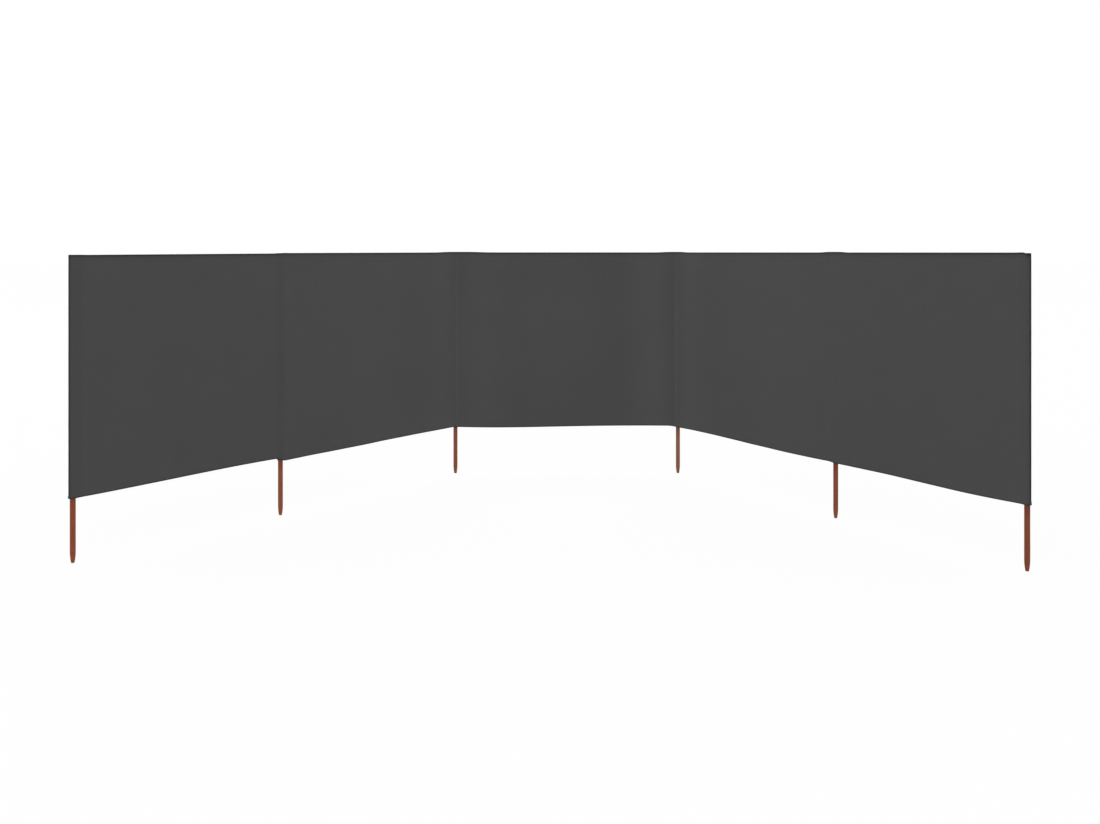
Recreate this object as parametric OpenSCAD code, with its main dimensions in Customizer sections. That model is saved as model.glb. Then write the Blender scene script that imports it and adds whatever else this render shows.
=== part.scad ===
// Cloth windbreak that is pushed into the ground: six round wooden poles in sewn pockets, with a
// bay of cloth between each two. In plan it is a U that opens towards -Y. The origin is the foot of
// the third pole, and the middle bay runs along +X from there.

/* [Poles] */
// Length of a pole, from the flat of its foot to its top
pole_length = 1200; // [1100:10:1600]
// Diameter of a pole
pole_d = 22; // [18:1:30]
// Length of the pointed lower end, its foot included
point_length = 45; // [20:5:120]
// Diameter at the lower end of the point, above the foot
point_d = 14; // [11:1:17]
// Diameter of the flat of the foot
foot_d = 10; // [6:1:10]
// Height of the chamfer round the foot
foot_height = 3; // [1:0.5:8]
// Width of the chamfer round the top
top_chamfer = 1.5; // [0.5:0.5:4]
// How much shorter the left end pole is cut
left_end_cut = 7; // [0:1:15]
// How much shorter the right end pole is cut
right_end_cut = 4; // [0:1:15]

/* [Cloth] */
// Height of the cloth in a bay, from edge to edge
bay_height = 950; // [500:10:1000]
// How far the pockets stand above the top edge of the bays between them
pocket_rise = 3; // [1.5:0.5:10]
// Thickness of the cloth of a bay
cloth_t = 1; // [0.6:0.1:2]
// Thickness of a pocket's strip of cloth
pocket_t = 0.8; // [0.5:0.1:1.5]
// Gap between a pole and the cloth round it
pole_gap = 0.3; // [0.2:0.1:1]
// Gap between the top of a pole and the closed top of its pocket
top_gap = 2; // [0.5:0.5:5]

/* [Seams] */
// Distance from the middle of a pocket to each of its seams
pocket_seam = 32; // [26:1:60]
// Distance from an end pole to the seam of its pocket
end_seam = 39; // [26:1:60]
// Width of the seam allowance outside a pocket's seam
allowance = 6; // [3:1:15]
// How far the cloth reaches past the middle of an end pole
end_overhang = 15.5; // [15:0.5:25]
// Height of the hems along the top and bottom edges
hem_height = 12; // [8:1:30]
// Thickness that a hem adds behind the cloth
hem_t = 0.8; // [0.5:0.1:1.5]

/* [Plan] */
// Length of each end bay, pole to pole
end_bay = 1090; // [700:10:1500]
// Length of the bay on each side of the middle one, pole to pole
side_bay = 1325; // [900:5:1600]
// Length of the middle bay, pole to pole
middle_bay = 1210; // [900:10:1600]
// Heading of the left end bay, in degrees from the middle bay
left_end_heading = 55.5; // [0:0.5:75]
// Heading of the bay to the left of the middle one
left_side_heading = 57; // [0:0.5:75]
// Heading of the bay to the right of the middle one
right_side_heading = -63.5; // [-75:0.5:0]
// Heading of the right end bay
right_end_heading = -62.5; // [-75:0.5:0]

/* [Hidden] */
$fn = 96;
cloth_colour = "#474747";
pole_colour = "#844b34";

BAY_LENGTHS = [end_bay, side_bay, middle_bay, side_bay, end_bay];
HEADINGS = [left_end_heading, left_side_heading, 0, right_side_heading, right_end_heading];
LAST_BAY = len(BAY_LENGTHS) - 1;
LAST_POLE = len(BAY_LENGTHS);
ORIGIN_POLE = 2;
ROUND_STEPS = 24;
BOTTOM = 0;
TOP = 1;

pole_r = pole_d / 2;
sleeve_r = pole_r + pole_gap;       // inside of a pocket round its pole
outer_r = sleeve_r + pocket_t;      // outside of it
back_face = sleeve_r;               // from the poles' line to the back of a bay's cloth
front_face = back_face + cloth_t;   // from the poles' line to the front of a bay's cloth
strip_back = back_face - pocket_t;  // from the poles' line to the back of a strip on a bay's back
bay_top = pole_length + top_gap + pocket_t - pocket_rise;
cloth_bottom = bay_top - bay_height;
cut_past = 1;                       // how far a cut runs past the face it opens

// ---- Plan ----

// Unit vectors along a heading, and from it towards the sheltered side
function along(heading) = [cos(heading), sin(heading)];
function inward(heading) = [sin(heading), -cos(heading)];

// Place of a pole in plan, stepping along the bays from the first one
function from_first(i) = i == 0 ? [0, 0] : from_first(i - 1) + BAY_LENGTHS[i - 1] * along(HEADINGS[i - 1]);
function pole_place(i) = from_first(i) - from_first(ORIGIN_POLE);

// Headings before and after a pole: an end pole has its one bay on both sides
function heading_before(i) = HEADINGS[max(i - 1, 0)];
function heading_after(i) = HEADINGS[min(i, LAST_BAY)];
function mean_heading(i) = (heading_before(i) + heading_after(i)) / 2;
function half_bend(i) = (heading_before(i) - heading_after(i)) / 2;

// How much lower than the others a pole's top is, with the cloth on it
function lowered(i) = i == 0 ? left_end_cut : (i == LAST_POLE ? right_end_cut : 0);

// Height of the bottom or top edge of a bay, x along it: the top edge runs straight from one
// pole's height to the next
function edge_height(i, level, x) = let (share = x / BAY_LENGTHS[i])
    cloth_bottom + level * (bay_height - lowered(i) * (1 - share) - lowered(i + 1) * share);

function is_end(i) = i == 0 || i == LAST_POLE;
// -1 at the first pole, 1 at the last one and 0 between them
function end_side(i) = i == 0 ? -1 : (i == LAST_POLE ? 1 : 0);

// Corner at a pole of the line that runs a given depth inward of the poles' line
function corner(i, depth) = pole_place(i)
    + depth / cos(half_bend(i)) * inward(mean_heading(i))
    + end_side(i) * end_overhang * along(mean_heading(i));

// ---- Pockets in plan ----
// x runs along the mean heading and y to the windward side. Side is 1 after the pole, -1 before it.

// Distance along the cloth's back from the pole's foot line to a pocket's seam
function seam_reach(i, side) = !is_end(i)
    ? pocket_seam + back_face * tan(half_bend(i))
    : (side == end_side(i) ? end_overhang : end_seam);
// The same to the outer edge of the seam allowance: the fold at a free end has next to none
function pocket_reach(i, side) = seam_reach(i, side) + (side == end_side(i) ? pocket_t : allowance);

// Direction in which the pocket's wall faces, in degrees from its bay
function wall_facing(i, side) = let (reach = seam_reach(i, side))
    acos(outer_r / norm([reach, back_face])) - atan2(back_face, reach);

// A point in a bay's own directions, turned into the pocket's frame
function turned(i, side, u, v) = let (h = half_bend(i))
    [side * (u * cos(h) + v * sin(h)), v * cos(h) - u * sin(h)];

// Point of the wall, at a radius from the pole's middle, in the plane at a depth
function wall_foot(i, side, r, depth) = let (f = wall_facing(i, side))
    turned(i, side, (r + depth * sin(f)) / cos(f), -depth);

// Round of the wall behind the pole, from the side before it to the side after it
function round_points(i, r) = let (
    from = 180 - wall_facing(i, -1) + half_bend(i),
    to = wall_facing(i, 1) - half_bend(i)
) [for (k = [0 : ROUND_STEPS]) let (a = from + (to - from) * k / ROUND_STEPS) r * [cos(a), sin(a)]];

// Outline of the cloth drawn tight over the round of the pole, closed at a depth
function tent(i, r, depth) = concat(
    [wall_foot(i, -1, r, depth)],
    round_points(i, r),
    [wall_foot(i, 1, r, depth), [0, -depth / cos(half_bend(i))]]
);

// Corners of the flat strip outside a seam, from the wall outwards
function seam_strip(i, side) = [
    wall_foot(i, side, outer_r, strip_back),
    turned(i, side, pocket_reach(i, side), -strip_back),
    turned(i, side, pocket_reach(i, side), -back_face)
];

function reversed(list) = [for (k = [len(list) - 1 : -1 : 0]) list[k]];

// ---- Sub-parts ----

// Wall of a pocket and the strips outside its seams, which lie on the back of the bays
module pocket_wall(i) {
    linear_extrude(height = bay_top - lowered(i) - cloth_bottom)
        polygon(concat(
            reversed(seam_strip(i, -1)),
            round_points(i, outer_r),
            seam_strip(i, 1),
            [wall_foot(i, 1, sleeve_r, back_face)],
            reversed(round_points(i, sleeve_r)),
            [wall_foot(i, -1, sleeve_r, back_face)]
        ));
}

// Closed top over the end of the pole, as far forward as the front of the bays
module pocket_top(i) {
    difference() {
        linear_extrude(height = pocket_rise)
            polygon(tent(i, outer_r, front_face));
        translate([0, 0, -cut_past])
            linear_extrude(height = pocket_rise - pocket_t + cut_past)
                polygon(tent(i, sleeve_r, back_face));
    }
}

module pocket(i) {
    color(cloth_colour)
        translate(pole_place(i))
            rotate(mean_heading(i))
                union() {
                    translate([0, 0, cloth_bottom])
                        pocket_wall(i);
                    translate([0, 0, bay_top - lowered(i)])
                        pocket_top(i);
                }
}

module pole(i) {
    top = pole_length - lowered(i);
    color(pole_colour)
        translate(pole_place(i))
            rotate_extrude()
                polygon([
                    [0, 0],
                    [foot_d / 2, 0],
                    [point_d / 2, foot_height],
                    [pole_r, point_length],
                    [pole_r, top - top_chamfer],
                    [pole_r - top_chamfer, top],
                    [0, top]
                ]);
}

// Upright slab along an edge of a bay, from one place along the bay to another, which reaches a
// little below and above the edge. Its thickness runs inward from the plane at a depth.
module edge_strip(i, start, end, level, below, above, depth, thickness) {
    translate(pole_place(i))
        rotate(HEADINGS[i])
            translate([0, -depth, 0])
                rotate([90, 0, 0])
                    linear_extrude(height = thickness)
                        polygon([
                            [start, edge_height(i, level, start) - below],
                            [end, edge_height(i, level, end) - below],
                            [end, edge_height(i, level, end) + above],
                            [start, edge_height(i, level, start) + above]
                        ]);
}

// Cloth of a bay, mitred to its neighbours at the poles and cut along its top edge
module panel(i) {
    past = 2 * end_overhang;
    color(cloth_colour)
        intersection() {
            translate([0, 0, cloth_bottom])
                linear_extrude(height = bay_height + cut_past)
                    polygon([
                        corner(i, front_face),
                        corner(i + 1, front_face),
                        corner(i + 1, back_face),
                        corner(i, back_face)
                    ]);
            edge_strip(i, -past, BAY_LENGTHS[i] + past, TOP, 2 * bay_height, 0, 0, 2 * front_face);
        }
}

// Turned-over edge on the back of a bay, from pocket to pocket
module hem(i, level) {
    start = pocket_reach(i, 1);
    end = BAY_LENGTHS[i] - pocket_reach(i + 1, -1);
    below = level == TOP ? hem_height : 0;
    color(cloth_colour)
        edge_strip(i, start, end, level, below, hem_height - below, back_face - hem_t, hem_t);
}

for (i = [0 : LAST_POLE]) {
    pole(i);
    pocket(i);
}
for (i = [0 : LAST_BAY]) {
    panel(i);
    hem(i, TOP);
    hem(i, BOTTOM);
}
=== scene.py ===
"""Looks of a cloth beach windbreak: its sheet, hems, pockets, stitching, poles and studio."""

import math

import bmesh
import bpy
import numpy as np
from bpy.props import FloatProperty, FloatVectorProperty, IntProperty, PointerProperty
from bpy.types import Operator, Panel, PropertyGroup
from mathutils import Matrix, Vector


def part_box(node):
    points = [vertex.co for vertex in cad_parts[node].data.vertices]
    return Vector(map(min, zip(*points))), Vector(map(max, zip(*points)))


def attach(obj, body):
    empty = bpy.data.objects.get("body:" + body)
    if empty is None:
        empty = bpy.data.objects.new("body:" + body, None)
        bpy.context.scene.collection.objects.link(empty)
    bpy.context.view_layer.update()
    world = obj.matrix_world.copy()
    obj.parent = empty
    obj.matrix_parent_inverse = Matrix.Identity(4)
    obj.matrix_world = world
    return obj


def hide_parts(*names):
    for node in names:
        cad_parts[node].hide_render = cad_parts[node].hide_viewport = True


bl_info = {
    "name": "Beach Windbreak",
    "version": (1, 0, 0),
    "blender": (4, 5, 0),
    "location": "View3D > Sidebar > Windbreak",
    "description": "Makes the cloth, poles, sewing and studio of a beach windbreak",
    "category": "Add Mesh",
}

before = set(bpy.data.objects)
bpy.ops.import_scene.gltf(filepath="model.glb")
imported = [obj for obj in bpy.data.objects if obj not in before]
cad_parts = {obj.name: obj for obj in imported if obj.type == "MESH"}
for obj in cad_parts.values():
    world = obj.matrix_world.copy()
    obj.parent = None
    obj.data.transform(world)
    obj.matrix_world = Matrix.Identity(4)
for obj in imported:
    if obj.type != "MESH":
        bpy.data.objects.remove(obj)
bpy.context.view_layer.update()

MM = 0.001
CLOTH_FINISH = "anthracite cloth"
CUT_ROUNDING = 0.2 * MM         # rounding of the cut edges of cloth
CUT_ANGLE = math.radians(60)    # least angle between two faces at a cut edge
BODY = "root"
POLE_COUNT = 6
BAY_COUNT = POLE_COUNT - 1
MIDDLE_BAY = 2
BOTTOM, TOP = 0, 1
FIRST, LAST = 0, POLE_COUNT - 1

# Seeds of the even, repeatable unevenness: those that are added to a number give each piece its own
WAVE_SEED, SMALL_WAVE_SEED, PUCKER_SEED = 11, 12, 13
CREASE_SEED, WIDE_CREASE_SEED = 20, 30
TURNING_SEED, HEM_WIDTH_SEED, HEM_EDGE_SEED, GRAIN_SEED = 40, 50, 60, 70


# ---- Measures of the frame ----

def numbered(kind, count):
    """Names of like nodes, counted from 1 at the left."""
    return [f"{kind}_{n + 1}" for n in range(count)]


def plan_points(node):
    """The points of a CAD node in plan."""
    return np.array([v.co.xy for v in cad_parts[node].data.vertices])


def plan_centre(node):
    """Middle of a CAD node's box in plan."""
    low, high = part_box(node)
    return np.array([low.x + high.x, low.y + high.y]) / 2


def furthest(node, place, direction):
    """Furthest that a CAD node reaches from a place in plan, along a direction."""
    return float(((plan_points(node) - place) @ direction).max())


POLES = numbered("pole", POLE_COUNT)
POCKETS = numbered("pocket", POLE_COUNT)
PANELS = numbered("panel", BAY_COUNT)
HEMS = {BOTTOM: numbered("bottom_hem", BAY_COUNT), TOP: numbered("top_hem", BAY_COUNT)}

POLE_PLACES = np.array([plan_centre(node) for node in POLES])
POLE_TOPS = np.array([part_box(node)[1].z for node in POLES])
POLE_RADIUS = (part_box(POLES[0])[1].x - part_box(POLES[0])[0].x) / 2
BACK_FACE = -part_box(PANELS[MIDDLE_BAY])[1].y
FRONT_FACE = -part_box(PANELS[MIDDLE_BAY])[0].y
CLOTH_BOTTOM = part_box(PANELS[MIDDLE_BAY])[0].z
CLOTH_TOPS = POLE_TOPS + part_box(PANELS[MIDDLE_BAY])[1].z - POLE_TOPS[MIDDLE_BAY]
CAP_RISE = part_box(POCKETS[MIDDLE_BAY])[1].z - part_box(PANELS[MIDDLE_BAY])[1].z
HEM_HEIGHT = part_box(HEMS[BOTTOM][0])[1].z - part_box(HEMS[BOTTOM][0])[0].z
MIDDLE_DEPTH = (BACK_FACE + FRONT_FACE) / 2

STEPS = np.diff(POLE_PLACES, axis=0)
BAY_LENGTHS = np.hypot(*STEPS.T)
BAY_WAYS = STEPS / BAY_LENGTHS[:, None]
BAY_HEADINGS = np.arctan2(STEPS[:, 1], STEPS[:, 0])


def way_before(pole):
    """Direction in plan of the bay before a pole: the first pole has its one bay on both sides."""
    return BAY_WAYS[max(pole - 1, 0)]


def way_after(pole):
    """Direction in plan of the bay after a pole."""
    return BAY_WAYS[min(pole, BAY_COUNT - 1)]


def mean_heading(pole):
    """Heading half way between those of the bays on the two sides of a pole."""
    return (BAY_HEADINGS[max(pole - 1, 0)] + BAY_HEADINGS[min(pole, BAY_COUNT - 1)]) / 2


def way_inward(heading):
    """Direction in plan from the cloth at a heading towards the sheltered side."""
    return np.array([math.sin(heading), -math.cos(heading)])


def half_bend(pole):
    """Half of the angle by which the cloth turns at a pole."""
    return (BAY_HEADINGS[max(pole - 1, 0)] - BAY_HEADINGS[min(pole, BAY_COUNT - 1)]) / 2


def end_side(pole):
    """-1 at the first pole, 1 at the last one and 0 between them."""
    return {FIRST: -1, LAST: 1}.get(pole, 0)


def pocket_reaches(pole):
    """How far a pocket reaches from its pole along the bays before and after it."""
    place = POLE_PLACES[pole]
    before = furthest(POCKETS[pole], place, -way_before(pole))
    after = furthest(POCKETS[pole], place, way_after(pole))
    return before, after


# ---- Smooth steps, noise and spacing ----

RIPPLE_PITCHES = (1.4, 2.8)     # pitch of a ripple's waves, in sizes of its lumps
BLUR_REACH = 4                  # how far a blur looks, in its own widths
FINE_SPREAD = 2.5               # distance at which the spacing is coarse, in that at which it's fine
COUNTED_PLACES = 20001          # places at which the spacing is added up


def smooth_step(x, low, high):
    """0 below low, 1 above high, and a smooth rise between them."""
    t = np.clip((x - low) / (high - low), 0, 1)
    return t * t * (3 - 2 * t)


def ripple(x, y, size, seed, waves=7):
    """Even, seeded unevenness between about -1 and 1, with lumps of a size in metres."""
    rng = np.random.default_rng(seed)
    total = np.zeros(np.broadcast(x, y).shape)
    for _ in range(waves):
        turn, phase = rng.uniform(0, 2 * math.pi, 2)
        pitch = size * rng.uniform(*RIPPLE_PITCHES)
        total += np.sin(2 * math.pi * (x * math.cos(turn) + y * math.sin(turn)) / pitch + phase)
    return total / math.sqrt(2 * waves)


def soften(values, sigma, step):
    """Values on even steps, blurred over a distance, and run on straight at their ends."""
    reach = int(BLUR_REACH * sigma / step)
    weights = np.exp(-0.5 * (np.arange(-reach, reach + 1) * step / sigma) ** 2)
    before = values[0] + (values[0] - values[1]) * np.arange(reach, 0, -1)
    after = values[-1] + (values[-1] - values[-2]) * np.arange(1, reach + 1)
    return np.convolve(np.concatenate([before, values, after]), weights / weights.sum(), "valid")


def resampled(corners, step):
    """Points on even steps along a line through corners."""
    lengths = np.concatenate([[0], np.cumsum(np.hypot(*np.diff(corners, axis=0).T))])
    at = np.linspace(0, lengths[-1], int(lengths[-1] / step) + 1)
    return np.column_stack([np.interp(at, lengths, corners[:, k]) for k in range(2)])


def softened_line(corners, sigma, step):
    """Points on near-even steps along a line through corners, with its corners rounded."""
    points = resampled(corners, step)
    return np.column_stack([soften(points[:, k], sigma, step) for k in range(2)])


def line_lengths(points):
    """Distance along a line at each of its points."""
    return np.concatenate([[0], np.cumsum(np.hypot(*np.diff(points, axis=0).T))])


def spaced(start, end, marks, fine, coarse, near):
    """Places from start to end, a fine step apart within a distance of marks and coarse elsewhere."""
    x = np.linspace(start, end, COUNTED_PLACES)
    distance = np.abs(x[:, None] - np.array(marks)[None, :]).min(axis=1)
    nearness = 1 - smooth_step(distance, near, FINE_SPREAD * near)
    density = nearness / fine + (1 - nearness) / coarse
    counted = np.concatenate([[0], np.cumsum((density[1:] + density[:-1]) / 2 * np.diff(x))])
    count = int(round(counted[-1]))
    return np.interp(np.linspace(0, counted[-1], count + 1), counted, x)


# ---- The cloth's surface ----

class Cloth:
    """Surface of the cloth, by distance along it, height, and depth behind the middle of it."""

    LINE_STEP = 1 * MM
    WAVE_SLANT = 0.45           # height of a wave against its width
    SMALL_WAVES = 0.4           # height of the small waves against the large ones
    SMALL_WAVE_SIZE = 1 / 3     # width of the small waves against the large ones
    PUCKERS_FROM = (0.7 * POLE_RADIUS, 2 * POLE_RADIUS)     # from none in front of the pole to whole
    SLACK_FROM = (-1, 0.1)      # from the top edge to just past the bottom one, counted downwards
    ZONE_FADE = 1.4             # where an edge's zone ends, in its heights

    def __init__(self, looks):
        self.looks = looks
        inner = [self.corner(pole) for pole in range(1, LAST)]
        corners = np.array([*self.end_corners(FIRST), *inner, *reversed(self.end_corners(LAST))])
        self.points = self.softened(corners)
        self.lengths = line_lengths(self.points)
        ways = np.gradient(self.points, self.lengths, axis=0)
        self.ways = ways / np.hypot(*ways.T)[:, None]
        self.length = self.lengths[-1]
        self.pole_marks = np.array([self.mark(pole) for pole in range(POLE_COUNT)])

    def softened(self, corners):
        """The cloth's line, with wider rounding at its bends than at the folds of its free edges."""
        looks = self.looks
        bends = softened_line(corners, looks.bend_softness, self.LINE_STEP)
        folds = softened_line(corners, looks.fold_softness, self.LINE_STEP)
        order = np.arange(len(bends))
        from_end = np.minimum(order, order[::-1]) * self.LINE_STEP
        share = smooth_step(from_end, looks.held_width, 3 * looks.held_width)[:, None]
        return folds + (bends - folds) * share

    @staticmethod
    def corner(pole, past=0.0, depth=None):
        """Corner in plan at a pole: of the cloth's middle, or at a distance past it and a depth."""
        heading = mean_heading(pole)
        way = np.array([math.cos(heading), math.sin(heading)])
        depth = MIDDLE_DEPTH / math.cos(half_bend(pole)) if depth is None else depth
        return POLE_PLACES[pole] + way_inward(heading) * depth + way * past

    def end_corners(self, pole):
        """Corners at an end pole, from the free edge inwards: the cloth turns back round the pole."""
        looks = self.looks
        side = end_side(pole)
        return [
            self.corner(pole, side * looks.fold_reach, looks.fold_depth),
            self.corner(pole, side * looks.fold_start),
            self.corner(pole, -side * looks.held_width),
        ]

    def mark(self, pole):
        """Distance along the cloth of the place nearest to a pole."""
        away = np.hypot(*(self.points - POLE_PLACES[pole]).T)
        return self.lengths[away.argmin()]

    def from_pole(self, s):
        """Distance along the cloth from the nearest pole."""
        return np.abs(np.subtract.outer(s, self.pole_marks)).min(axis=-1)

    def bay_share(self, s, bay):
        """Share of a bay that lies before a place: 0 at its first pole and 1 at its last."""
        start, end = self.pole_marks[bay:bay + 2]
        return np.clip((s - start) / (end - start), 0, 1)

    def in_bay(self, s, bay):
        """1 in a bay and 0 in the others, with a smooth change at a pole between them."""
        blend = self.looks.blend_width
        start, end = self.pole_marks[bay:bay + 2] - self.looks.blend_shift
        after = 1.0 if bay == 0 else smooth_step(s, start - blend, start + blend)
        before = 1.0 if bay == BAY_COUNT - 1 else 1 - smooth_step(s, end - blend, end + blend)
        return after * before

    def bottom(self, s):
        """Height of the bottom edge: each bay is drawn up by its own amounts."""
        looks = self.looks
        lift = np.zeros_like(s)
        for bay in range(BAY_COUNT):
            share = self.bay_share(s, bay)
            line = looks.start_lifts[bay] * (1 - share) + looks.end_lifts[bay] * share
            arch = looks.mid_lifts[bay] * np.sin(math.pi * share)
            sway = looks.sway_lifts[bay] * np.sin(2 * math.pi * share)
            lift += self.in_bay(s, bay) * (line + arch + sway)
        drop = looks.pole_drop * np.exp(-(self.from_pole(s) / looks.drop_width) ** 2)
        return CLOTH_BOTTOM + lift - drop

    def top(self, s):
        """Height of the top edge: nearly straight from pole to pole, with a bump over some."""
        looks = self.looks
        line = np.interp(s, self.pole_marks, [*CLOTH_TOPS[:LAST], CLOTH_TOPS[LAST - 1]])
        for bay in range(BAY_COUNT):
            share = self.bay_share(s, bay)
            sag = looks.start_sags[bay] * (1 - share) + looks.end_sags[bay] * share
            line -= self.in_bay(s, bay) * sag
        for mark, bump, width in zip(self.pole_marks, looks.bumps, looks.bump_widths):
            line += bump * CAP_RISE * np.exp(-((s - mark) / width) ** 4)
        dip = looks.corner_dip * smooth_step(s, self.pole_marks[LAST] - POLE_RADIUS, self.length)
        return line - dip

    def edge_zone(self, s, z, height):
        """1 within a height of the top or bottom edge, and 0 further in."""
        near = np.minimum(z - self.bottom(s), self.top(s) - z)
        return 1 - smooth_step(near, height, self.ZONE_FADE * height)

    def relief(self, s, z):
        """How far the cloth stands out towards the sheltered side."""
        looks = self.looks
        away = self.from_pole(s)
        share = (z - CLOTH_BOTTOM) / (CLOTH_TOPS.max() - CLOTH_BOTTOM)
        free = smooth_step(away, looks.held_width, looks.free_width)
        slack = looks.top_slack + (1 - looks.top_slack) * smooth_step(-share, *self.SLACK_FROM)
        waves = ripple(s, z * self.WAVE_SLANT, looks.wave_size, WAVE_SEED)
        small = ripple(s, z, looks.wave_size * self.SMALL_WAVE_SIZE, SMALL_WAVE_SEED)
        waves = waves + self.SMALL_WAVES * small
        bow = looks.middle_bow * np.sin(math.pi * self.bay_share(s, MIDDLE_BAY)) ** 2
        bow = bow * smooth_step(-share, -1, 0)
        pull = looks.pucker * ripple(s, z, looks.pucker_size, PUCKER_SEED)
        pull = pull * np.exp(-(away / looks.held_width) ** 2)
        pull = pull * smooth_step(away, *self.PUCKERS_FROM)
        over_pole = looks.hem_layer * np.exp(-(away / POLE_RADIUS) ** 4)
        over_pole = over_pole * self.edge_zone(s, z, HEM_HEIGHT)
        return free * slack * looks.wave_height * waves - bow + pull + over_pole - self.grooves(s, z)

    def grooves(self, s, z):
        """How deep the rows of stitches pull the cloth in."""
        looks = self.looks
        rows = [z - self.bottom(s) - looks.stitch_line, self.top(s) - z - looks.stitch_line]
        rows += [s - mark for mark in self.seam_marks()]
        return looks.groove * sum(np.exp(-(row / looks.groove_width) ** 2) for row in rows)

    def seam_marks(self):
        """Distances along the cloth of the pockets' seams."""
        marks = []
        for pole, middle in enumerate(self.pole_marks):
            before, after = pocket_reaches(pole)
            if pole != FIRST:
                marks.append(middle - before + self.looks.allowance / 2)
            if pole != LAST:
                marks.append(middle + after - self.looks.allowance / 2)
        return marks

    def place(self, s, z, depth=0.0):
        """Points on the cloth, or at a depth behind the middle of it."""
        s, z, depth = np.broadcast_arrays(s, z, depth)
        spot = np.column_stack([np.interp(s, self.lengths, self.points[:, k]) for k in range(2)])
        out = (self.relief(s, z) - depth)[:, None] * self.inward(s)
        return np.column_stack([spot + out, z])

    def inward(self, s):
        """Unit vectors in plan from the cloth towards the sheltered side."""
        x, y = (np.interp(s, self.lengths, self.ways[:, k]) for k in range(2))
        return np.column_stack([y, -x]) / np.hypot(x, y)[:, None]


# ---- Meshes ----

def remove_old(name):
    """Deletes an object of an earlier run, so that an operator can be run again."""
    if name in bpy.data.objects:
        bpy.data.objects.remove(bpy.data.objects[name])


def new_piece(name, mesh, material):
    """Object of the windbreak with its material, riding on the frame's body."""
    remove_old(name)
    mesh.name = name
    mesh.polygons.foreach_set("use_smooth", [True] * len(mesh.polygons))
    piece = bpy.data.objects.new(name, mesh)
    bpy.context.scene.collection.objects.link(piece)
    mesh.materials.append(material)
    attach(piece, BODY)
    return piece


def grid_mesh(columns, rows):
    """Flat grid, with each point's column and row as shares from 0 to 1."""
    bm = bmesh.new()
    bmesh.ops.create_grid(bm, x_segments=columns, y_segments=rows, size=0.5, calc_uvs=True)
    mesh = bpy.data.meshes.new("grid")
    bm.to_mesh(mesh)
    bm.free()
    points = np.empty(len(mesh.vertices) * 3, np.float32)
    mesh.vertices.foreach_get("co", points)
    shares = points.reshape(-1, 3)[:, :2].astype(float) + 0.5
    return mesh, shares[:, 0], shares[:, 1]


def place_points(mesh, points):
    """Moves the points of a mesh."""
    mesh.vertices.foreach_set("co", points.astype(np.float32).ravel())
    mesh.update()


def lay_pattern(mesh, across, up):
    """UV map in metres along and up the cloth, which the weave follows."""
    loops = np.empty(len(mesh.loops), np.int32)
    mesh.loops.foreach_get("vertex_index", loops)
    layer = mesh.uv_layers[0] if mesh.uv_layers else mesh.uv_layers.new()
    layer.name = "pattern"
    layer.data.foreach_set("uv", np.column_stack([across, up])[loops].astype(np.float32).ravel())


def note(mesh, name, values):
    """Value at each point of a mesh, for its material to read."""
    layer = mesh.attributes.new(name, "FLOAT", "POINT")
    layer.data.foreach_set("value", values.astype(np.float32))


def thicken(piece, thickness):
    """Gives a sheet its thickness, half on each side, and softens the cut edge."""
    solid = piece.modifiers.new("thickness", "SOLIDIFY")
    solid.thickness = thickness
    solid.offset = 0
    edge = piece.modifiers.new("soft edge", "BEVEL")
    edge.width = CUT_ROUNDING
    edge.segments = 1
    edge.limit_method = "ANGLE"
    edge.angle_limit = CUT_ANGLE


def shown_name(node):
    """Name of the piece that stands for a CAD node."""
    return f"{node}_made"


# ---- Shader nodes ----

NODE_STEPS, NODES_IN_ROW = (180, -220), 8


def add_node(tree, kind, inputs=None, **settings):
    """Node with its settings, and each input given a value or the socket that feeds it."""
    made = tree.nodes.new(kind)
    row, column = divmod(len(tree.nodes), NODES_IN_ROW)
    made.location = (NODE_STEPS[0] * column, NODE_STEPS[1] * row)
    for name, value in settings.items():
        setattr(made, name, value)
    for key, value in (inputs or {}).items():
        if isinstance(value, bpy.types.NodeSocket):
            tree.links.new(value, made.inputs[key])
        else:
            made.inputs[key].default_value = value
    return made


def maths(tree, operation, first, second=0.0, third=0.0):
    """Result of a Math node."""
    inputs = {0: first, 1: second, 2: third}
    return add_node(tree, "ShaderNodeMath", inputs, operation=operation).outputs[0]


def times(tree, vector, factors):
    """Vector with each part multiplied by its own factor."""
    inputs = {0: vector, 1: factors}
    return add_node(tree, "ShaderNodeVectorMath", inputs, operation="MULTIPLY").outputs[0]


def noise(tree, vector, scale, detail=2.0):
    """Smooth noise from 0 to 1, with a mean of about a half."""
    inputs = {"Vector": vector, "Scale": scale, "Detail": detail}
    return add_node(tree, "ShaderNodeTexNoise", inputs).outputs[0]


def between(tree, value, low, high, to_low=0.0, to_high=1.0):
    """Value moved smoothly from one range to another, and kept inside it."""
    inputs = {"Value": value, "From Min": low, "From Max": high, "To Min": to_low, "To Max": to_high}
    made = add_node(tree, "ShaderNodeMapRange", inputs, interpolation_type="SMOOTHSTEP")
    return made.outputs["Result"]


def scaled_colour(tree, colour, factor):
    """Colour made lighter or darker by a factor."""
    inputs = {0: colour, "Scale": factor}
    return add_node(tree, "ShaderNodeVectorMath", inputs, operation="SCALE").outputs[0]


def mixed_colour(tree, share, first, second):
    """Mix of two colours: 0 is all the first and 1 all the second."""
    made = add_node(tree, "ShaderNodeMix", {"Factor": share}, data_type="RGBA")
    for key, value in (("A", first), ("B", second)):
        socket = next(s for s in made.inputs if s.name == key and s.type == "RGBA")
        if isinstance(value, bpy.types.NodeSocket):
            tree.links.new(value, socket)
        else:
            socket.default_value = value
    return next(s for s in made.outputs if s.type == "RGBA")


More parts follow.
